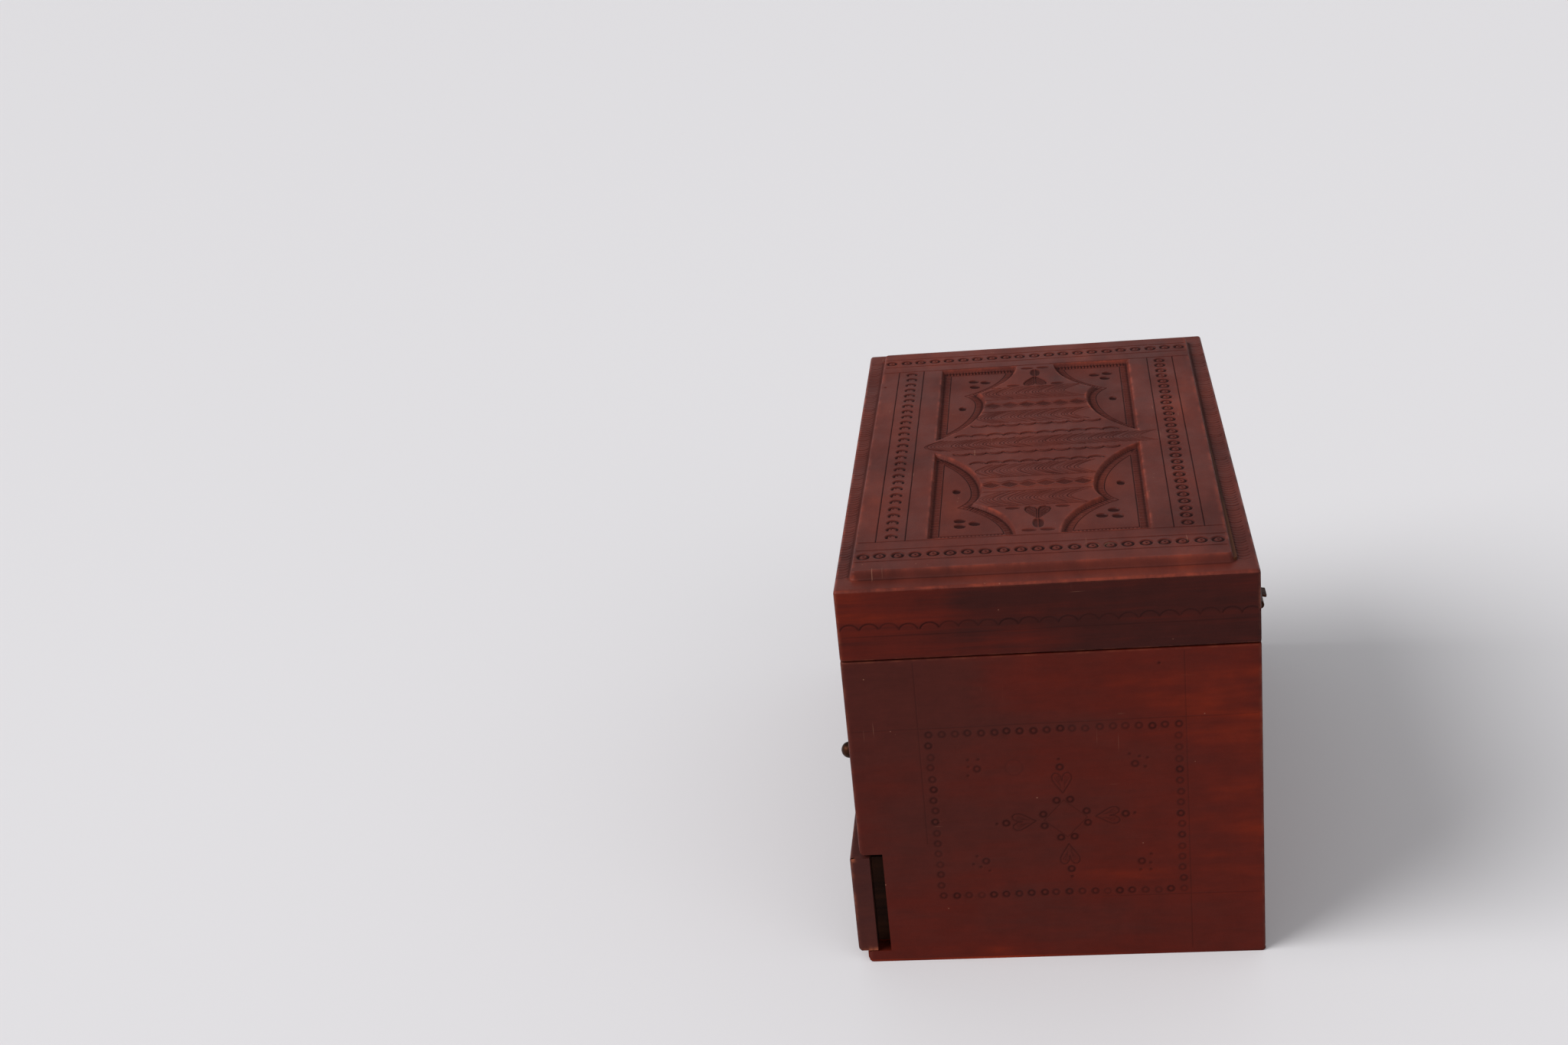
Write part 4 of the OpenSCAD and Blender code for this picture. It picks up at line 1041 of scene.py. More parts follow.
# Tooling of the lid: bands of rings round four windows, and stamped rows between them
lidPattern = {
    "endCreases": (142.6, 129.7, 120.5), "endRings": 136.6, "ringPitch": 8.45, "ringSpan": 84.6,
    "sideCreases": (79.4, 64.9), "sideRings": 71.9, "sideSpan": 115.0, "ledgePitch": 2.9, "ledgeX": 150.0,
    "dashPitch": 1.75, "dashInset": 2.7, "innerCrease": 5.2, "featherPitch": 1.85, "rowPitch": 8.8,
    "feathers": (("feather", 0.0, 7.3), ("wideFeather", 38.0, 8.3), ("wideFeather", 75.2, 8.3)),
    "scallops": ((12.7, 1), (26.6, -1)), "lozenges": (56.7, 9.4), "rowCreases": (46.9, 65.7, 84.3),
    "nailHole": (-96.6, -86.6), "heart": 86.0, "lens": 106.8, "bars": (87.4, 12.5, 114.8, 4.5),
    "creaseGap": 2.5, "scallopRim": [(-2, -4.3), (-2, 4.3), (2, -4.3), (2, 4.3)],
    "lozengeRim": [(0, -4.3), (0, 4.3), (-3.4, 0), (3.4, 0)],
}
windowPits = {(-1, -1): ((102.4, 35.4), (100.2, 28.6), (93.6, 34.6), (59.3, 41.0)),
              (1, -1): ((95.9, 38.8), (102.3, 38.7), (99.9, 31.4), (58.7, 41.4)),
              (-1, 1): ((102.1, 34.0), (103.6, 41.3), (95.8, 39.8), (62.4, 43.0)),
              (1, 1): ((91.7, 37.3), (97.6, 31.3), (99.2, 39.0), (58.1, 42.1))}


def windowStamps(prints, sx, sy):
    plan = lidPattern
    for place, (x, y) in enumerate(windowPits[sx, sy]):
        die, turn = ("drop", 90 - 12 * place) if place < 3 else ("pit", 5)
        prints.one(die, sx * x, sy * y, turn, place + 5, 0.9)
    far, wide = window["x"] - plan["dashInset"], window["y"] - plan["dashInset"]
    curved = windowPath(plan["dashInset"], sx, sy)
    end = [(sx * far, sy * abs(curved[-1][1])), (sx * far, sy * wide)]
    side = [(sx * abs(curved[0][0]), sy * wide), (sx * far, sy * wide)]
    for seed, path in enumerate((curved, end, side)):
        prints.row("dash", path, round(pathLength(path) / plan["dashPitch"]), 0, seed + 11, *hand["dash"])
    inset = plan["innerCrease"]
    outline = windowPath(inset, sx, sy)
    corner = (sx * (window["x"] - inset), sy * (window["y"] - inset))
    prints.crease(outline + [corner, outline[0]], *creaseWork["window"])


def bandStamps(prints):
    # The flat border: creases and rings, with nested nail marks on the ledges and one nail hole
    plan = lidPattern
    prints.one("dot", *plan["nailHole"], 0, 70, 1.0)
    across, count = plan["ringSpan"], round(2 * plan["ringSpan"] / plan["ringPitch"]) + 1
    creaseEnd = panel["y"] - plan["creaseGap"]
    for sx in (1, -1):
        for x in plan["endCreases"]:
            prints.crease([(sx * x, -creaseEnd), (sx * x, creaseEnd)], *creaseWork["lidEnd"])
        x = sx * plan["endRings"]
        prints.row("ring", [(x, -across), (x, across)], count, 0, 3 + sx, *hand["ring"])
    long, count = plan["sideSpan"], round(2 * plan["sideSpan"] / plan["ringPitch"]) + 1
    creaseX = plan["endCreases"][2]
    for sy, die in ((1, "ring"), (-1, "halfRing")):
        for y in plan["sideCreases"]:
            prints.crease([(-creaseX, sy * y), (creaseX, sy * y)], *creaseWork["lidSide"])
        y = sy * plan["sideRings"]
        prints.row(die, [(-long, y), (long, y)], count, 90, 8 + sy, *hand["sideRing"])
        ledge, reach = sy * (panel["y"] + halfWidth) / 2, plan["ledgeX"]
        nails = round(2 * reach / plan["ledgePitch"])
        prints.row("nail", [(-reach, ledge), (reach, ledge)], nails, 0, 20 + sy, *hand["nail"])


def fieldStamps(prints):
    # The field between the windows: feather bands, scallops, lozenges and a flower at each end
    plan = lidPattern
    for place, (die, x, reach) in enumerate(plan["feathers"]):
        low, high = clearRun(x, [(y, along) for along, y in featherLine(reach)])
        count = round((high - low) / plan["featherPitch"]) + 1
        for sx in ((1, -1) if x else (1,)):
            path = [(sx * x, high), (sx * x, low)]
            prints.row(die, path, count, 180, 30 + place + sx, *hand["feather"])
    pitch = plan["rowPitch"]
    for sx in (1, -1):
        for place, (x, facing) in enumerate(plan["scallops"]):
            low, high = clearRun(x, plan["scallopRim"])
            count = int((high - low) / pitch) + 1
            half = (count - 1) * pitch / 2 * sx * facing
            path = [(sx * x, half), (sx * x, -half)]
            prints.row("scallop", path, count, 0, 40 + place + sx, *hand["scallop"])
        x, step = plan["lozenges"]
        low, high = clearRun(x, plan["lozengeRim"])
        count = int((high - low) / step) + 1
        half = (count - 1) * step / 2 * sx
        for die in ("lozenge", "hatch", "zigzag"):
            prints.row(die, [(sx * x, -half), (sx * x, half)], count, 0, 50 + sx, *hand["lozenge"])
        for creaseX in plan["rowCreases"]:
            path = [(sx * creaseX, end) for end in clearRun(creaseX, [(0, 0)])]
            prints.crease(path, *creaseWork["lidRow"])
        for die in ("heart", "heartRim", "veins"):
            prints.one(die, sx * plan["heart"], 0, -90 * sx, 60, 0.95)
        prints.one("lens", sx * plan["lens"], 0, 0, 61, 0.95)
        inner, aside, outer, near = plan["bars"]
        for sy in (1, -1):
            prints.one("bar", sx * inner, sy * aside, 90, 62, 0.9)
            prints.one("bar", sx * outer, sy * near, 90, 63, 0.9)


def lidStamps():
    prints = Prints("lidTop")
    bandStamps(prints)
    for sx in (1, -1):
        for sy in (1, -1):
            windowStamps(prints, sx, sy)
    fieldStamps(prints)
    prints.lay(panel["turn"], panel["middleY"])
    return prints


lidStampPrints = lidStamps()
lidSide = edgeOf(0, edges["lidTop"], partTurn(edges["lidTop"], leatherThick))
lidTopSheet = {
    "origin": (0, 0, ledgeZ), "across": (1, 0, 0), "along": (0, 1, 0), "ballCorners": True,
    "form": lidForm, "left": {**lidSide, "edge": -halfLength}, "right": {**lidSide, "edge": halfLength},
    "bottom": {**lidSide, "edge": -halfWidth}, "top": {**lidSide, "edge": halfWidth},
    "swell": 0.3, "cell": sheetCells["lid"],
    # Worn spots on the lid; the one at the panel's near front corner also stands for a painted highlight
    "chips": [(152.5, -91.2, 2.2), (150.5, 87.9, 1.4), (-152, -89.8, 1.5)],
}
makePiece("tooled_lid_top", [leatherSheet(lidTopSheet, lidStampPrints, 1)], leather["tooled"],
          "lid", ["lid_top_leather"], split=[-92, -44, 0, 44, 92])
lidStampPrints.remove()
print("stage: lid top tooled")


# The upright faces: crease lines, frames of small rings, flower crosses and sprigs
facePattern = {"ringPitch": 6.3, "flower": (10.6, 14.5, 29.2, 33.7), "flowerRings": (-3.3, 3.3),
               "flowerTurn": 3, "press": 0.8, "arcTurn": 20, "arcPress": 0.6,
               "sprigDots": ((-1.1, 5.2), (-0.25, 6.6), (0.35, 4.4), (1.3, 6.0)),
               "scallopPitch": 9.4, "scallopZ": 190.2}


def ringRow(prints, path, count, seed, faintest):
    # Small rings, each pressed a little deeper on one side
    turn, share = facePattern["arcTurn"], facePattern["arcPress"]
    prints.row("smallRing", path, count, 0, seed, *hand["smallRing"], faintest)
    prints.row("smallArc", path, count, turn, seed, *hand["smallArc"], faintest * share)


def ringFrame(prints, low, high, seed):
    # Hand-set frame: each side has its own wander and some rings are barely pressed
    (u0, v0), (u1, v1) = low, high
    pitch = facePattern["ringPitch"]
    acrossCount, uprightCount = round((u1 - u0) / pitch) + 1, round((v1 - v0) / pitch)
    ringRow(prints, [(u0, v1), (u1, v1 + 0.4)], acrossCount, seed, 0.55)
    ringRow(prints, [(u0 + 0.8, v0), (u1, v0 - 0.3)], acrossCount, seed + 1, 0.4)
    step = (v1 - v0) / uprightCount
    for u, more in ((u0, 2), (u1, 3)):
        path = [(u, v0 + step), (u - 0.5, v1 - step)]
        ringRow(prints, path, uprightCount - 1, seed + more, 0.5)


def flowerCross(prints, x, y, seed, size=1.0):
    ringReach, petalReach, tipReach, dotReach = (size * r for r in facePattern["flower"])
    press = facePattern["press"]
    for arm in range(4):
        turn = 90 * arm + facePattern["flowerTurn"]
        angle = math.radians(turn)
        out, side = (math.cos(angle), math.sin(angle)), (-math.sin(angle), math.cos(angle))

        def at(reach, aside):
            return x + out[0] * reach + side[0] * aside, y + out[1] * reach + side[1] * aside

        for aside in facePattern["flowerRings"]:
            prints.one("smallRing", *at(ringReach, aside), 0, seed + arm, press)
        for die in (("petals", "petalVeins") if size > 0.8 else ("bud",)):
            prints.one(die, *at(petalReach, 0), turn - 90, seed + 6, press)
        prints.one("smallRing", *at(tipReach, 0), 0, seed + 7, press)
        prints.one("dot", *at(dotReach, 0), 0, seed + 8, press)
        nextArm = (x + side[0] * ringReach, y + side[1] * ringReach)
        prints.crease([at(ringReach, 0), nextArm], *creaseWork["flower"])


def sprig(prints, x, y, centre, seed):
    prints.one("smallRing", x, y, 0, seed, 0.75)
    away = math.atan2(y - centre[1], x - centre[0])
    for turn, reach in facePattern["sprigDots"]:
        dotX, dotY = x + reach * math.cos(away + turn), y + reach * math.sin(away + turn)
        prints.one("dot", dotX, dotY, 0, seed + 1, facePattern["press"])


def faceStamps(name, plan, seed):
    prints = Prints(name)
    for ends in plan.get("creases", ()):
        prints.crease(ends, *creaseWork["face"])
    for low, high in plan.get("frames", ()):
        ringFrame(prints, low, high, seed)
    for x, y, size in plan.get("flowers", ()):
        flowerCross(prints, x, y, seed, size)
    for x, y in plan.get("pits", ()):
        prints.one("dot", x, y, 0, seed, 1.0)
    for outline in plan.get("stains", ()):
        prints.crease(outline, *creaseWork["stain"])
    for x, y, centre in plan.get("sprigs", ()):
        sprig(prints, x, y, centre, seed + 9)
    for x0, x1 in plan.get("scallops", ()):
        count, y = round((x1 - x0) / facePattern["scallopPitch"]) + 1, facePattern["scallopZ"]
        prints.row("fineScallop", [(x0, y), (x1, y)], count, 0, seed, *hand["fineScallop"])
    return prints


def notchOutline(z):
    # Half depth of the case front at each height, drawn in at the base and beside the notch
    full = np.full_like(z, halfWidth)
    base, curl = edges["base"], edges["notch"]
    lowPart = np.clip(base - z, 0, base)
    full = np.where(z < base, halfWidth - base + np.sqrt(base ** 2 - lowPart ** 2), full)
    back = full.copy()
    under = np.clip(z - (sillZ - curl), 0, curl)
    full = np.where((z > sillZ - curl) & (z <= sillZ + 0.01),
                    halfWidth - curl + np.sqrt(curl ** 2 - under ** 2), full)
    above = np.clip(bayTop + curl - z, 0, curl)
    full = np.where((z >= bayTop - 0.01) & (z < bayTop + curl),
                    halfWidth - curl + np.sqrt(curl ** 2 - above ** 2), full)
    return full, back


def wrap(edge, radius, run=None):
    # A rounded edge that the leather follows all the way round, and on for the run
    return edgeOf(edge, radius, quarter, run)


def partly(edge, radius, reach):
    # A rounded edge that the leather follows until it has gone this far along the face
    return edgeOf(edge, radius, math.asin(reach / radius))


turnedIn = halfLength - innerX
rimRun = turnedIn - edges["rim"]
notchDepth = 11.5
notchY = notchDepth - halfWidth
uprightReach = edges["upright"] - leatherThick
lidShort = partly(ledgeZ, edges["lidTop"], edges["lidTop"] - leatherThick)
# The leaves of the hinges, for which the leather of the back leaves room
hinge = {"x": 110.0, "half": 15.1, "leafY": 91.5, "thick": 1.2}
arcLoss = edges["rim"] * (quarter - 1)
beyond = 400  # past the end of every sheet


def endSheet(side, lidPart=False):
    # One end of the case or of the lid; side 1 is the right end and -1 the left
    def outline(z):
        front, back = notchOutline(z)
        return (-front, back) if side > 0 else (-back, front)

    sheet = {"origin": (side * halfLength, 0, 0), "across": (0, side, 0), "along": (0, 0, 1), "swell": 0.35,
             "left": {**uprightEdge, "edge": -halfWidth}, "right": {**uprightEdge, "edge": halfWidth}}
    if lidPart:
        cutBottom = lidLow - arcLoss
        return {**sheet, "bottom": wrap(lidLow, edges["rim"], rimRun), "top": lidShort,
                "cuts": [(-beyond, -boardY, -beyond, cutBottom), (boardY, beyond, -beyond, cutBottom)],
                "keysU": (-boardY, boardY), "keysV": (cutBottom,)}
    cutTop = rimZ + arcLoss
    notch = (-beyond, notchY) if side > 0 else (-notchY, beyond)
    return {**sheet, "outline": outline, "reach": 4.0, "bottom": edgeOf(baseTop),
            "top": wrap(rimZ, edges["rim"], rimRun),
            "cuts": [(-beyond, -boardY, cutTop, beyond), (boardY, beyond, cutTop, beyond),
                     (*notch, sillZ, bayTop)],
            "keysU": (-boardY, boardY, side * notchY), "keysV": (cutTop, sillZ, bayTop)}


def longSheet(side, lidPart=False):
    # Front (-1) or back (1) of the case or of the lid, with mortises for the hinges at the back
    sheet = {"origin": (0, side * halfWidth, 0), "across": (-side, 0, 0), "along": (0, 0, 1), "swell": 0.35,
             "left": partly(-halfLength, edges["upright"], uprightReach),
             "right": partly(halfLength, edges["upright"], uprightReach), "keysU": [-innerX, innerX]}
    leafRun = halfWidth - edges["rim"] - hinge["leafY"]
    if lidPart:
        low, high = -beyond, lidLow - arcLoss
        sheet.update(bottom=wrap(lidLow, edges["rim"], rimRun), top=lidShort, keysV=[high])
        mortise = (high - leafRun, lidLow + hinge["thick"])
    else:
        low, high = rimZ + arcLoss, beyond
        below = wrap(bayTop, edges["notch"], turnedIn - edges["notch"])
        sheet.update(top=wrap(rimZ, edges["rim"], rimRun), keysV=[low],
                     bottom=below if side < 0 else partly(0, edges["base"], edges["base"] - baseTop))
        mortise = (rimZ - hinge["thick"], low + leafRun)
    sheet["cuts"] = [(-beyond, -innerX, low, high), (innerX, beyond, low, high)]
    if side < 0 and not lidPart:
        under = bayTop - edges["notch"] * (quarter - 1)
        sheet["cuts"] += [(-beyond, -innerX, -beyond, under), (innerX, beyond, -beyond, under)]
        sheet["keysV"].append(under)
    if side > 0:
        for x in (-hinge["x"], hinge["x"]):
            ends = (x - hinge["half"], x + hinge["half"])
            sheet["cuts"].append((*ends, *mortise))
            sheet["keysU"] += ends
        sheet["keysV"] += list(mortise)
    return sheet


def endPlan(side):
    # Set out as on the photographed end, and mirrored on the other
    def at(y, z):
        return side * y, z

    middle = at(3.9, 81.0)
    frameY = sorted((side * -59.5, side * 60.0))
    sprigs = ((-37.6, 111.0), (38.6, 110.5), (-36.4, 58.0), (40.0, 55.0))
    low, high = baseTop + 2, rimZ - 2
    return {"creases": [[at(63.4, low), at(63.4, high)], [at(-64.7, low + 66), at(-64.7, high)],
                        [at(-97, 134.2), at(97, 135.6)], [at(20, 35.4), at(97, 35.0)]],
            "frames": [((frameY[0], 38.4), (frameY[1], 131.0))], "flowers": [(*middle, 1.0)],
            "sprigs": [(*at(y, z), middle) for y, z in sprigs],
            "pits": [at(51.7, 164.6)], "stains": [arc(at(-19.7, 111.0), 4.3, 0, 360, 20)]}


def lidPlan(low, high, reach, startZ, endZ):
    # A row of scallops over a crease line
    return {"scallops": [(low, high)], "creases": [[(-reach, startZ), (reach, endZ)]]}


covers = {
    "right_end": (endSheet(1), endPlan(1), "rightEnd", "case", "right_side_leather"),
    "left_end": (endSheet(-1), endPlan(-1), "case", "case", "left_side_leather"),
    "case_front": (longSheet(-1), {
        "creases": [[(-162, 162.0), (162, 162.0)], [(-162, 75.0), (162, 75.0)], [(-156, 66), (-156, 170)],
                    [(156, 66), (156, 170)]],
        "frames": [((-150.0, 80.5), (150.0, 157.0))],
        "flowers": [(0, 118.5, 1.0), (-92, 118.5, 0.9), (92, 118.5, 0.9)],
        "sprigs": [(x, y, (0, 118.5)) for x in (-46, 46, -138, 138) for y in (98, 139)]},
        "case", "case", "front_leather"),
    "case_back": (longSheet(1), {
        "creases": [[(-162, 135.0), (162, 135.4)], [(-162, 35.0), (162, 35.0)]],
        "frames": [((-150.0, 39.5), (150.0, 130.5))], "flowers": [(0, 85, 1.0)],
        "sprigs": [(x, y, (0, 85)) for x in (-60, 60, -130, 130) for y in (60, 110)]},
        "case", "case", "back_leather"),
    "lid_right_end": (endSheet(1, True), lidPlan(-93, 95, 97, 185.6, 186.4), "lidSide", "lid",
                      "lid_right_leather"),
    "lid_left_end": (endSheet(-1, True), lidPlan(-95, 93, 97, 185.8, 186.2), "lidSide", "lid",
                     "lid_left_leather"),
    "lid_front": (longSheet(-1, True), lidPlan(-159, 159, 162, 186.0, 186.0), "lidLong", "lid",
                  "lid_front_leather"),
    "lid_back": (longSheet(1, True), lidPlan(-159, 159, 162, 186.0, 186.0), "lidLong", "lid",
                 "lid_back_leather"),
}


def ribbon(profile, x0, x1, thick):
    # A strip along X over a profile of (y, z) points, with its thickness to the left of the path
    line = np.array(profile)
    ahead = np.gradient(line, axis=0)
    ahead /= np.linalg.norm(ahead, axis=1)[:, None]
    aside = np.column_stack([-ahead[:, 1], ahead[:, 0]]) * thick
    xs = [x0, (x0 + x1) / 2, x1]
    points, faces = [], []
    for layer in (line, line + aside):
        for x in xs:
            points += [(x, y, z) for y, z in layer]
    n, m = len(line), len(xs)

    def at(layer, i, j):
        return (layer * m + i) * n + j

    for i in range(m - 1):
        for j in range(n - 1):
            faces.append([at(0, i, j), at(0, i, j + 1), at(0, i + 1, j + 1), at(0, i + 1, j)])
            faces.append([at(1, i, j), at(1, i + 1, j), at(1, i + 1, j + 1), at(1, i, j + 1)])
        for j, turn in ((0, 1), (n - 1, -1)):
            faces.append([at(0, i, j), at(0, i + 1, j), at(1, i + 1, j), at(1, i, j)][::turn])
    for j in range(n - 1):
        for i, turn in ((0, -1), (m - 1, 1)):
            faces.append([at(0, i, j), at(0, i, j + 1), at(1, i, j + 1), at(1, i, j)][::turn])
    if x1 < x0:
        faces = [face[::-1] for face in faces]
    empty = np.zeros(len(points))
    # The strip turned into the notch is darkened all over by painted shade
    return np.array(points), faces, {"pressed": empty, "worn": empty, "hollowShade": empty + 0.4}


def notchRibbon(side):
    # The leather turned into the notch: over the sill, up the closed side and under the front board
    sill, curl = 0.5, edges["notch"]
    profile = [(-boardY, sillZ)] + arc((notchY - sill, sillZ + sill), sill, 270, 360, 5)
    profile += arc((notchY - curl, bayTop - curl), curl, 0, 90, 8) + [(-boardY, bayTop)]
    return ribbon(profile[::-1], side * innerX, side * (halfLength - leatherThick), leatherThick)


def buildFaces():
    for place, (name, (sheet, plan, finish, body, node)) in enumerate(covers.items()):
        prints = faceStamps(name, plan, 70 + 7 * place)
        parts = [leatherSheet(sheet, prints, 10 + place)]
        prints.remove()
        if node in ("right_side_leather", "left_side_leather"):
            parts.append(notchRibbon(1 if node.startswith("right") else -1))
        split = [0] if name in ("case_front", "case_back") else None
        makePiece("tooled_" + name, parts, leather[finish], body, [node], split)


buildFaces()
print("stage: upright faces tooled")


# Leather of the drawer front: one sheet over the face and two caps on its ends
drawerLow, drawerHigh = boxOf("drawer_front_leather")
drawerPattern = {"inset": 7.0, "frameInset": 5, "flowers": (-70, 70), "flowerSize": 0.55,
                 "sprigs": (-118, 118, -28, 28)}


def drawerOutline(z):
    full = np.full_like(z, -drawerLow[1])
    curl = edges["notch"]
    for edge, sign in ((drawerLow[2], 1), (drawerHigh[2], -1)):
        near = np.clip(curl - (z - edge) * sign, 0, curl)
        full = np.minimum(full, -drawerLow[1] - curl + np.sqrt(curl ** 2 - near ** 2))
    return full


def buildDrawerFront():
    curl = edges["notch"]
    run = drawerHigh[1] - drawerLow[1] - curl
    middle = (drawerLow[2] + drawerHigh[2]) / 2
    inset = drawerPattern["inset"]
    u, low, high = halfLength - inset, drawerLow[2] + inset, drawerHigh[2] - inset
    corners = [(-u, low), (u, low), (u, high), (-u, high)]
    inside = drawerPattern["frameInset"]
    plan = {"creases": list(zip(corners, corners[1:] + corners[:1])),
            "frames": [((-u + inside, low + inside), (u - inside, high - inside))],
            "flowers": [(x, middle, drawerPattern["flowerSize"]) for x in drawerPattern["flowers"]],
            "sprigs": [(x, middle, (0, middle)) for x in drawerPattern["sprigs"]]}
    prints = faceStamps("drawerFront", plan, 130)
    main = {"origin": (0, drawerLow[1], 0), "across": (1, 0, 0), "along": (0, 0, 1), "swell": 0.3,
            "left": partly(-halfLength, edges["upright"], uprightReach),
            "right": partly(halfLength, edges["upright"], uprightReach),
            "bottom": wrap(drawerLow[2], curl, run), "top": wrap(drawerHigh[2], curl, run)}
    parts = [leatherSheet(main, prints, 40)]
    prints.remove()
    for side in (1, -1):
        prints = Prints("cap")
        front, back = side * drawerLow[1], side * drawerHigh[1]

        def outline(z, side=side):
            full = drawerOutline(z)
            flat = np.full_like(z, abs(drawerHigh[1]))
            return (-full, -flat) if side > 0 else (flat, full)

        cap = {"origin": (side * halfLength, 0, 0), "across": (0, side, 0), "along": (0, 0, 1), "swell": 0.2,
               "left": {**uprightEdge, "edge": front} if side > 0 else edgeOf(back),
               "right": edgeOf(back) if side > 0 else {**uprightEdge, "edge": front},
               "bottom": edgeOf(drawerLow[2]), "top": edgeOf(drawerHigh[2]), "outline": outline,
               "reach": 3.0, "chips": [(front + side, drawerHigh[2] - 1, 1.6),
                                       *((front + gap * side, drawerLow[2], 1.4) for gap in (3, 6, 9))]}
        parts.append(leatherSheet(cap, prints, 41))
        prints.remove()
    makePiece("tooled_drawer_front", parts, leather["drawer"], "drawer",
              ["drawer_front_leather"])


buildDrawerFront()
print("stage: drawer front covered")


# Velvet: crowned floor pads and thin linings with soft edges
velvetLook = {"deep": (64, 9, 16), "bright": (84, 14, 22), "sheen": (220, 120, 130)}


def velvetMaterial():
    material, tree, shader, place = newMaterial("liningVelvet")
    cloud = noise(tree, place, 30.0, 3.0)
    deep, bright = srgb(*velvetLook["deep"]), srgb(*velvetLook["bright"])
    colour = mixColour(tree, ease(tree, cloud, 0.3, 0.7), deep, bright)
    tree.links.new(colour, shader.inputs["Base Color"])
    nap = noise(tree, place, 2600.0, 2.0, 0.7)
    pile = noise(tree, scaled(tree, place, (1, 1, 3)), 90.0, 3.0, 0.6)
    bumped(tree, shader, calc(tree, "ADD", nap, calc(tree, "MULTIPLY", pile, 0.7)), 0.5, 0.0004)
    setShader(shader, Roughness=0.9, Specular_IOR_Level=0.2, Sheen_Weight=0.3, Sheen_Roughness=0.35)
    shader.inputs["Sheen Tint"].default_value = srgb(*velvetLook["sheen"])
    return material


velvet = velvetMaterial()
# Lengths in mm of the ripples in the velvet and of the puckers along its rim
waves = {"long": (17.3, 13.1), "short": (7.9, 11.7), "puckerReach": 9.0, "puckerLength": 3.1}


def softBlock(low, high, plan):
    # Closed block whose edges are round and whose faces swell and ripple a little
    low, high = np.array(low, float), np.array(high, float)
    radius = min(plan["edge"], *(0.49 * (high - low)))
    rim = radius * np.array((0, 0.25, 0.6))
    ticks = []
    for start, end in zip(low, high):
        count = max(1, round((end - start - 2 * radius) / plan["cell"]))
        inside = np.linspace(start + radius, end - radius, count + 1)
        ticks.append(np.concatenate([start + rim, inside, end - rim[::-1]]))
    number, points, faces = {}, [], []

    def vertex(i, j, k):
        if (i, j, k) not in number:
            number[i, j, k] = len(points)
            points.append((ticks[0][i], ticks[1][j], ticks[2][k]))
        return number[i, j, k]

    for axis in range(3):
        first, second = (axis + 1) % 3, (axis + 2) % 3
        for end, flip in ((0, True), (len(ticks[axis]) - 1, False)):
            for p in range(len(ticks[first]) - 1):
                for q in range(len(ticks[second]) - 1):
                    face = []
                    for dp, dq in ((0, 0), (1, 0), (1, 1), (0, 1)):
                        key = [0, 0, 0]
                        key[axis], key[first], key[second] = end, p + dp, q + dq
                        face.append(vertex(*key))
                    faces.append(face[::-1] if flip else face)
    points = np.array(points)
    core = np.clip(points, low + radius, high - radius)
    away = points - core
    length = np.linalg.norm(away, axis=1)
    points = core + away / np.maximum(length, 1e-9)[:, None] * np.minimum(radius, length)[:, None]
    return softened(points, low, high, plan), faces


def softened(points, low, high, plan):
    # Draws the rim of the free face down and lets it ripple; the side that is glued stays flat
    axis, free = plan["axis"], plan["free"]
    others = [a for a in range(3) if a != axis]
    thick = high[axis] - low[axis]
    base = low[axis] if free > 0 else high[axis]
    share = (points[:, axis] - base) * free / thick
    inset = [np.minimum(points[:, a] - low[a], high[a] - points[:, a]) for a in others]
    crown = np.ones(len(points))
    for distance in inset:
        crown *= 1 - plan["droop"] * np.exp(-(distance / plan["dropReach"]) ** 1.2)
    a, b = points[:, others[0]], points[:, others[1]]
    (longA, longB), (shortA, shortB) = waves["long"], waves["short"]
    wave = np.sin(a / longA + plan["seed"]) * np.sin(b / longB + 2 * plan["seed"])
    wave += 0.6 * np.sin(a / shortA + b / shortB + plan["seed"])
    near = np.exp(-np.minimum(*inset) / waves["puckerReach"])
    pucker = near * np.sin((a + b) / waves["puckerLength"] + plan["seed"])
    crown += plan["ripple"] * (wave - 1.2) / 2.6 + plan["pucker"] * (pucker - 1) / 2
    points[:, axis] = base + free * thick * share * np.clip(crown, 0.2, 1.0)
    return points


def velvetPiece(name, low, high, plan, body, node):
    points, shape = softBlock(low, high, plan)
    marks = {label: np.zeros(len(points)) for label in ("pressed", "worn", "hollowShade")}
    return makePiece(name, [(points, shape, marks)], velvet, body, [node])[0]


pads = {"well_floor_pad": ("case", 11), "drawer_floor_pad": ("drawer", 12)}
padPlan = {"edge": 1.1, "cell": 6.0, "axis": 2, "free": 1, "droop": 0.35, "dropReach": 7.0, "ripple": 0.04,
           "pucker": 0.05}
puff = {"frames": 20, "pressure": 4.0, "grow": -0.015, "most": 1.1, "firmness": 12.0, "folds": 0.4,
        "room": 0.12, "glue": 0.1}


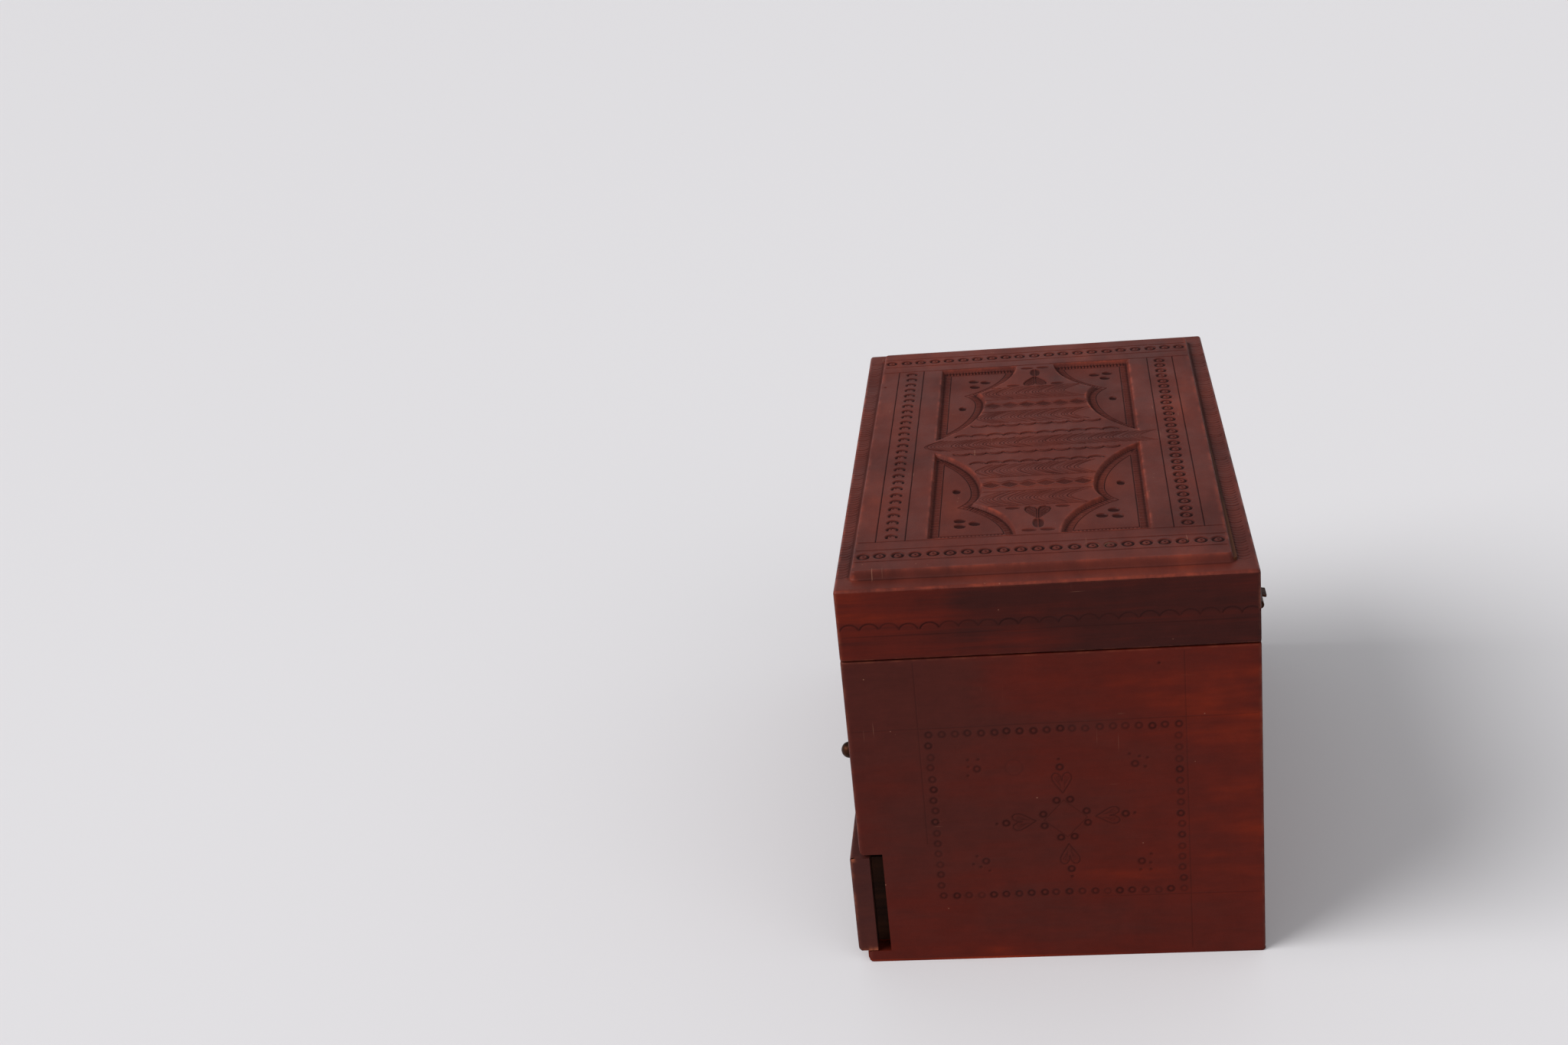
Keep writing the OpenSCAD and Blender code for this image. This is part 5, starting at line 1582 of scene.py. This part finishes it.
def puffed(pad, low, high):
    # The velvet swells as cloth over its filling, glued underneath; each point's way is kept short
    world = bpy.context.scene
    mesh = pad.data
    start = np.zeros(len(mesh.vertices) * 3)
    mesh.vertices.foreach_get("co", start)
    start = start.reshape(-1, 3)
    glued = pad.vertex_groups.new(name="glued")
    glued.add(np.flatnonzero(start[:, 2] < (low[2] + puff["glue"]) * mm).tolist(), 1.0, "REPLACE")
    cloth = pad.modifiers.new("cloth", "CLOTH")
    cloth.point_cache.frame_end = puff["frames"]
    cloth.settings.vertex_group_mass = "glued"
    cloth.settings.use_pressure = True
    cloth.settings.uniform_pressure_force = puff["pressure"]
    cloth.settings.shrink_min = puff["grow"]
    cloth.settings.tension_stiffness = puff["firmness"]
    cloth.settings.compression_stiffness = puff["firmness"]
    cloth.settings.bending_stiffness = puff["folds"]
    cloth.settings.effector_weights.gravity = 0
    for step in range(1, puff["frames"] + 1):
        world.frame_set(step)
    swollen = pad.evaluated_get(bpy.context.evaluated_depsgraph_get()).to_mesh()
    end = np.zeros(len(start) * 3)
    swollen.vertices.foreach_get("co", end)
    pad.modifiers.remove(cloth)
    pad.vertex_groups.remove(glued)
    world.frame_set(1)
    way = end.reshape(-1, 3) - start
    length = np.linalg.norm(way, axis=1)[:, None]
    mean, furthest = (round(float(number) / mm, 2) for number in (length.mean(), length.max()))
    print("cloth moved", pad.name, "mean", mean, "most", furthest)
    most = puff["most"] * mm
    moved = start + way * most / (most + length)
    moved = np.clip(moved, low * mm, (high - np.array((0, 0, puff["room"]))) * mm)
    mesh.vertices.foreach_set("co", moved.ravel())
    mesh.update()


for node, (body, seed) in pads.items():
    low, high = (np.array(corner, float) for corner in boxOf(node))
    roomLeft = np.array((0, 0, puff["most"]))
    pad = velvetPiece("crowned_" + node, low, high - roomLeft, {**padPlan, "seed": seed}, body, node)
    puffed(pad, low, high)
    rounder = pad.modifiers.new("rounder", "SUBSURF")
    rounder.levels = rounder.render_levels = 1
print("stage: pads filled")

wallPlan = {"edge": 0.55, "cell": 6.0, "droop": 0.3, "dropReach": 2.5, "ripple": 0.1, "pucker": 0.1}


def liningWalls(name, replaced, body):
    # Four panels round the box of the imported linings, the long ones between the short ones
    boxes = [boxOf(node) for node in replaced]
    x0, y0, z0 = np.min([low for low, high in boxes], axis=0)
    x1, y1, z1 = np.max([high for low, high in boxes], axis=0)
    nearX, farX = x0 + liningThick, x1 - liningThick
    nearY, farY = y0 + liningThick, y1 - liningThick
    panels = [((x0, y0, z0), (nearX, y1, z1), 0, 1), ((farX, y0, z0), (x1, y1, z1), 0, -1),
              ((nearX, y0, z0), (farX, nearY, z1), 1, 1), ((nearX, farY, z0), (farX, y1, z1), 1, -1)]
    for place, (low, high, axis, free) in enumerate(panels):
        plan = {**wallPlan, "axis": axis, "free": free, "seed": 20 + place}
        velvetPiece(f"{name}_{place + 1}", low, high, plan, body, replaced[place])


liningWalls("well_lining", [f"well_{side}_lining" for side in ("left", "right", "front", "back")], "case")
liningWalls("lid_lining", ["lid_wall_lining"] * 4, "lid")
liningWalls("drawer_lining", ["drawer_wall_lining"] * 4, "drawer")
velvetPiece("lid_ceiling_velvet", *boxOf("lid_ceiling_lining"),
            {**wallPlan, "axis": 2, "free": -1, "seed": 31, "ripple": 0.12}, "lid", "lid_ceiling_lining")
print("stage: velvet laid in")


# Wood, brass and mirror on the imported solids
# The boards' stain, and the drawer's darker one, are partly the wood's own colour and partly painted shade
# for the dark gap round the drawer
stainedAndShaded = {"pale": (86, 48, 29), "dark": (50, 25, 17), "rough": 0.6, "coat": 0.0, "grainAlong": "x"}
woods = {
    "boardWood": stainedAndShaded,
    "crossWood": {**stainedAndShaded, "grainAlong": "y"},
    "drawerWoodShaded": {**stainedAndShaded, "pale": (62, 33, 20), "dark": (36, 19, 13), "rough": 0.7, "grainAlong": "y"},
    "frameWood": {**stainedAndShaded, "pale": (110, 58, 34), "dark": (62, 30, 20), "rough": 0.4, "coat": 0.3},
}
brassLook = {"worn": (62, 36, 25), "tarnished": (30, 17, 13)}
mirrorTint = (236, 240, 240)


def woodMaterial(name, look):
    material, tree, shader, place = newMaterial(name)
    pale, dark = srgb(*look["pale"]), srgb(*look["dark"])
    ringStretch, fibreStretch = (0.2, 3.0, 3.0), (0.6, 14.0, 14.0)
    if look["grainAlong"] == "y":
        ringStretch, fibreStretch = (3.0, 0.2, 3.0), (14.0, 0.6, 14.0)
    warp = noise(tree, place, 12.0, 2.0)
    rings = noise(tree, scaled(tree, place, ringStretch), 55.0, 4.0, 0.6)
    fibre = noise(tree, scaled(tree, place, fibreStretch), 60.0, 2.0, 0.6)
    share = ease(tree, calc(tree, "ADD", rings, calc(tree, "MULTIPLY", warp, 0.25)), 0.45, 0.8)
    colour = mixColour(tree, share, pale, dark)
    colour = mixColour(tree, ease(tree, fibre, 0.62, 0.75, 0.0, 0.35), colour, dark)
    tree.links.new(colour, shader.inputs["Base Color"])
    bumped(tree, shader, calc(tree, "ADD", rings, fibre), 0.25, 0.0003)
    setShader(shader, Roughness=look["rough"], Specular_IOR_Level=0.12, Coat_Weight=look["coat"],
              Coat_Roughness=0.2)
    return material


def brassMaterial():
    material, tree, shader, place = newMaterial("agedBrass")
    cloud = noise(tree, place, 180.0, 4.0, 0.6)
    tarnish = ease(tree, cloud, 0.45, 0.75)
    colour = mixColour(tree, tarnish, srgb(*brassLook["worn"]), srgb(*brassLook["tarnished"]))
    tree.links.new(colour, shader.inputs["Base Color"])
    tree.links.new(ease(tree, cloud, 0.35, 0.75, 0.4, 0.65), shader.inputs["Roughness"])
    bumped(tree, shader, noise(tree, place, 900.0, 3.0), 0.15, 0.0002)
    setShader(shader, Metallic=1.0)
    return material


def mirrorMaterial():
    material, tree, shader, place = newMaterial("mirrorGlass")
    haze = noise(tree, place, 60.0, 4.0, 0.6)
    tree.links.new(ease(tree, haze, 0.5, 0.8, 0.02, 0.06), shader.inputs["Roughness"])
    setShader(shader, Metallic=1.0)
    shader.inputs["Base Color"].default_value = srgb(*mirrorTint)
    return material


wood = {name: woodMaterial(name, look) for name, look in woods.items()}
brass, mirrorGlass = brassMaterial(), mirrorMaterial()
plainNodes = [
    ("board_wood", wood["boardWood"], [
        "bottom_board", "front_board", "back_board", "shelf_board", "lid_front_rail", "lid_back_rail",
        "lid_top_board", "lid_panel_board", "drawer_back_board", "drawer_bottom_board"]),
    ("board_wood", wood["drawerWoodShaded"], ["drawer_front_board", "drawer_right_side", "drawer_left_side"]),
    ("board_wood", wood["crossWood"], [
        "right_side_board", "left_side_board", "lid_right_rail", "lid_left_rail"]),
    ("case_leather", leather["case"], ["base_leather", "drawer_bay_leather"]),
    ("frame_wood", wood["frameWood"], ["lid_mirror_frame"]),
    ("mirror_glass", mirrorGlass, ["lid_mirror"]),
    ("aged_brass", brass, [
        "hinge_case_leaves", "hinge_pins", "hinge_case_screws", "hinge_lid_leaves", "hinge_lid_screws",
        "drawer_knob", "drawer_knob_rosette", "drawer_knob_screw"]),
]
for slot, material, names in plainNodes:
    for name in names:
        nodes[name].data.materials.clear()
        nodes[name].data.materials.append(material)
print("stage: plain nodes finished")


# Camera, fitted to the corners of the box in the photograph: its focal length in pixels of that frame
view = {"focal": 2785.3, "frameWidth": 2048, "sensor": 36, "place": (1068.42, 5.31, 644.59),
        "yaw": 7.817, "pitch": 23.52, "roll": -6.302}


def placeCamera():
    yaw, pitch, roll = (math.radians(view[k]) for k in ("yaw", "pitch", "roll"))
    ahead = Vector((-math.cos(pitch) * math.cos(yaw), -math.cos(pitch) * math.sin(yaw), -math.sin(pitch)))
    right = ahead.cross(Vector((0, 0, 1))).normalized()
    up = right.cross(ahead)
    right, up = math.cos(roll) * right + math.sin(roll) * up, math.cos(roll) * up - math.sin(roll) * right
    turn = Matrix((right, up, -ahead)).transposed().to_4x4()
    lens = bpy.data.cameras.new("camera")
    lens.sensor_width = view["sensor"]
    lens.lens = view["sensor"] * view["focal"] / view["frameWidth"]
    lens.clip_start = 0.01
    camera = bpy.data.objects.new("camera", lens)
    camera.matrix_world = Matrix.Translation(Vector(view["place"]) * mm) @ turn
    bpy.context.scene.collection.objects.link(camera)
    bpy.context.scene.camera = camera


placeCamera()
print("stage: camera placed")


# Plain pale table, soft window light from the front left and a pale room
studio = {"table": (222, 220, 222), "tableHalf": 6.0, "room": (205, 206, 208), "roomStrength": 0.72,
          "key": {"from": (0.26, -0.7, 0.68), "spread": 40, "strength": 2.5},
          "fill": {"from": (0.75, 0.45, 0.5), "spread": 60, "strength": 0.5}}


def buildStudio():
    mesh = bpy.data.meshes.new("table")
    half = studio["tableHalf"]
    corners = [(-half, -half, 0), (half, -half, 0), (half, half, 0), (-half, half, 0)]
    mesh.from_pydata(corners, [], [(0, 1, 2, 3)])
    table = bpy.data.objects.new("table", mesh)
    bpy.context.scene.collection.objects.link(table)
    material, tree, shader, place = newMaterial("paleTable")
    shader.inputs["Base Color"].default_value = srgb(*studio["table"])
    setShader(shader, Roughness=0.6)
    mesh.materials.append(material)
    world = bpy.data.worlds.new("room")
    bpy.context.scene.world = world
    world.use_nodes = True
    background = world.node_tree.nodes["Background"]
    background.inputs[0].default_value = srgb(*studio["room"])
    background.inputs[1].default_value = studio["roomStrength"]
    for name in ("key", "fill"):
        plan = studio[name]
        light = bpy.data.lights.new(name, "SUN")
        light.angle, light.energy = math.radians(plan["spread"]), plan["strength"]
        lamp = bpy.data.objects.new(name, light)
        lamp.location = plan["from"]
        lamp.rotation_euler = (-Vector(plan["from"])).to_track_quat("-Z", "Y").to_euler()
        bpy.context.scene.collection.objects.link(lamp)


buildStudio()
bpy.context.scene.view_settings.view_transform = "Standard"
for die in list(dies.values()):
    bpy.data.objects.remove(die)
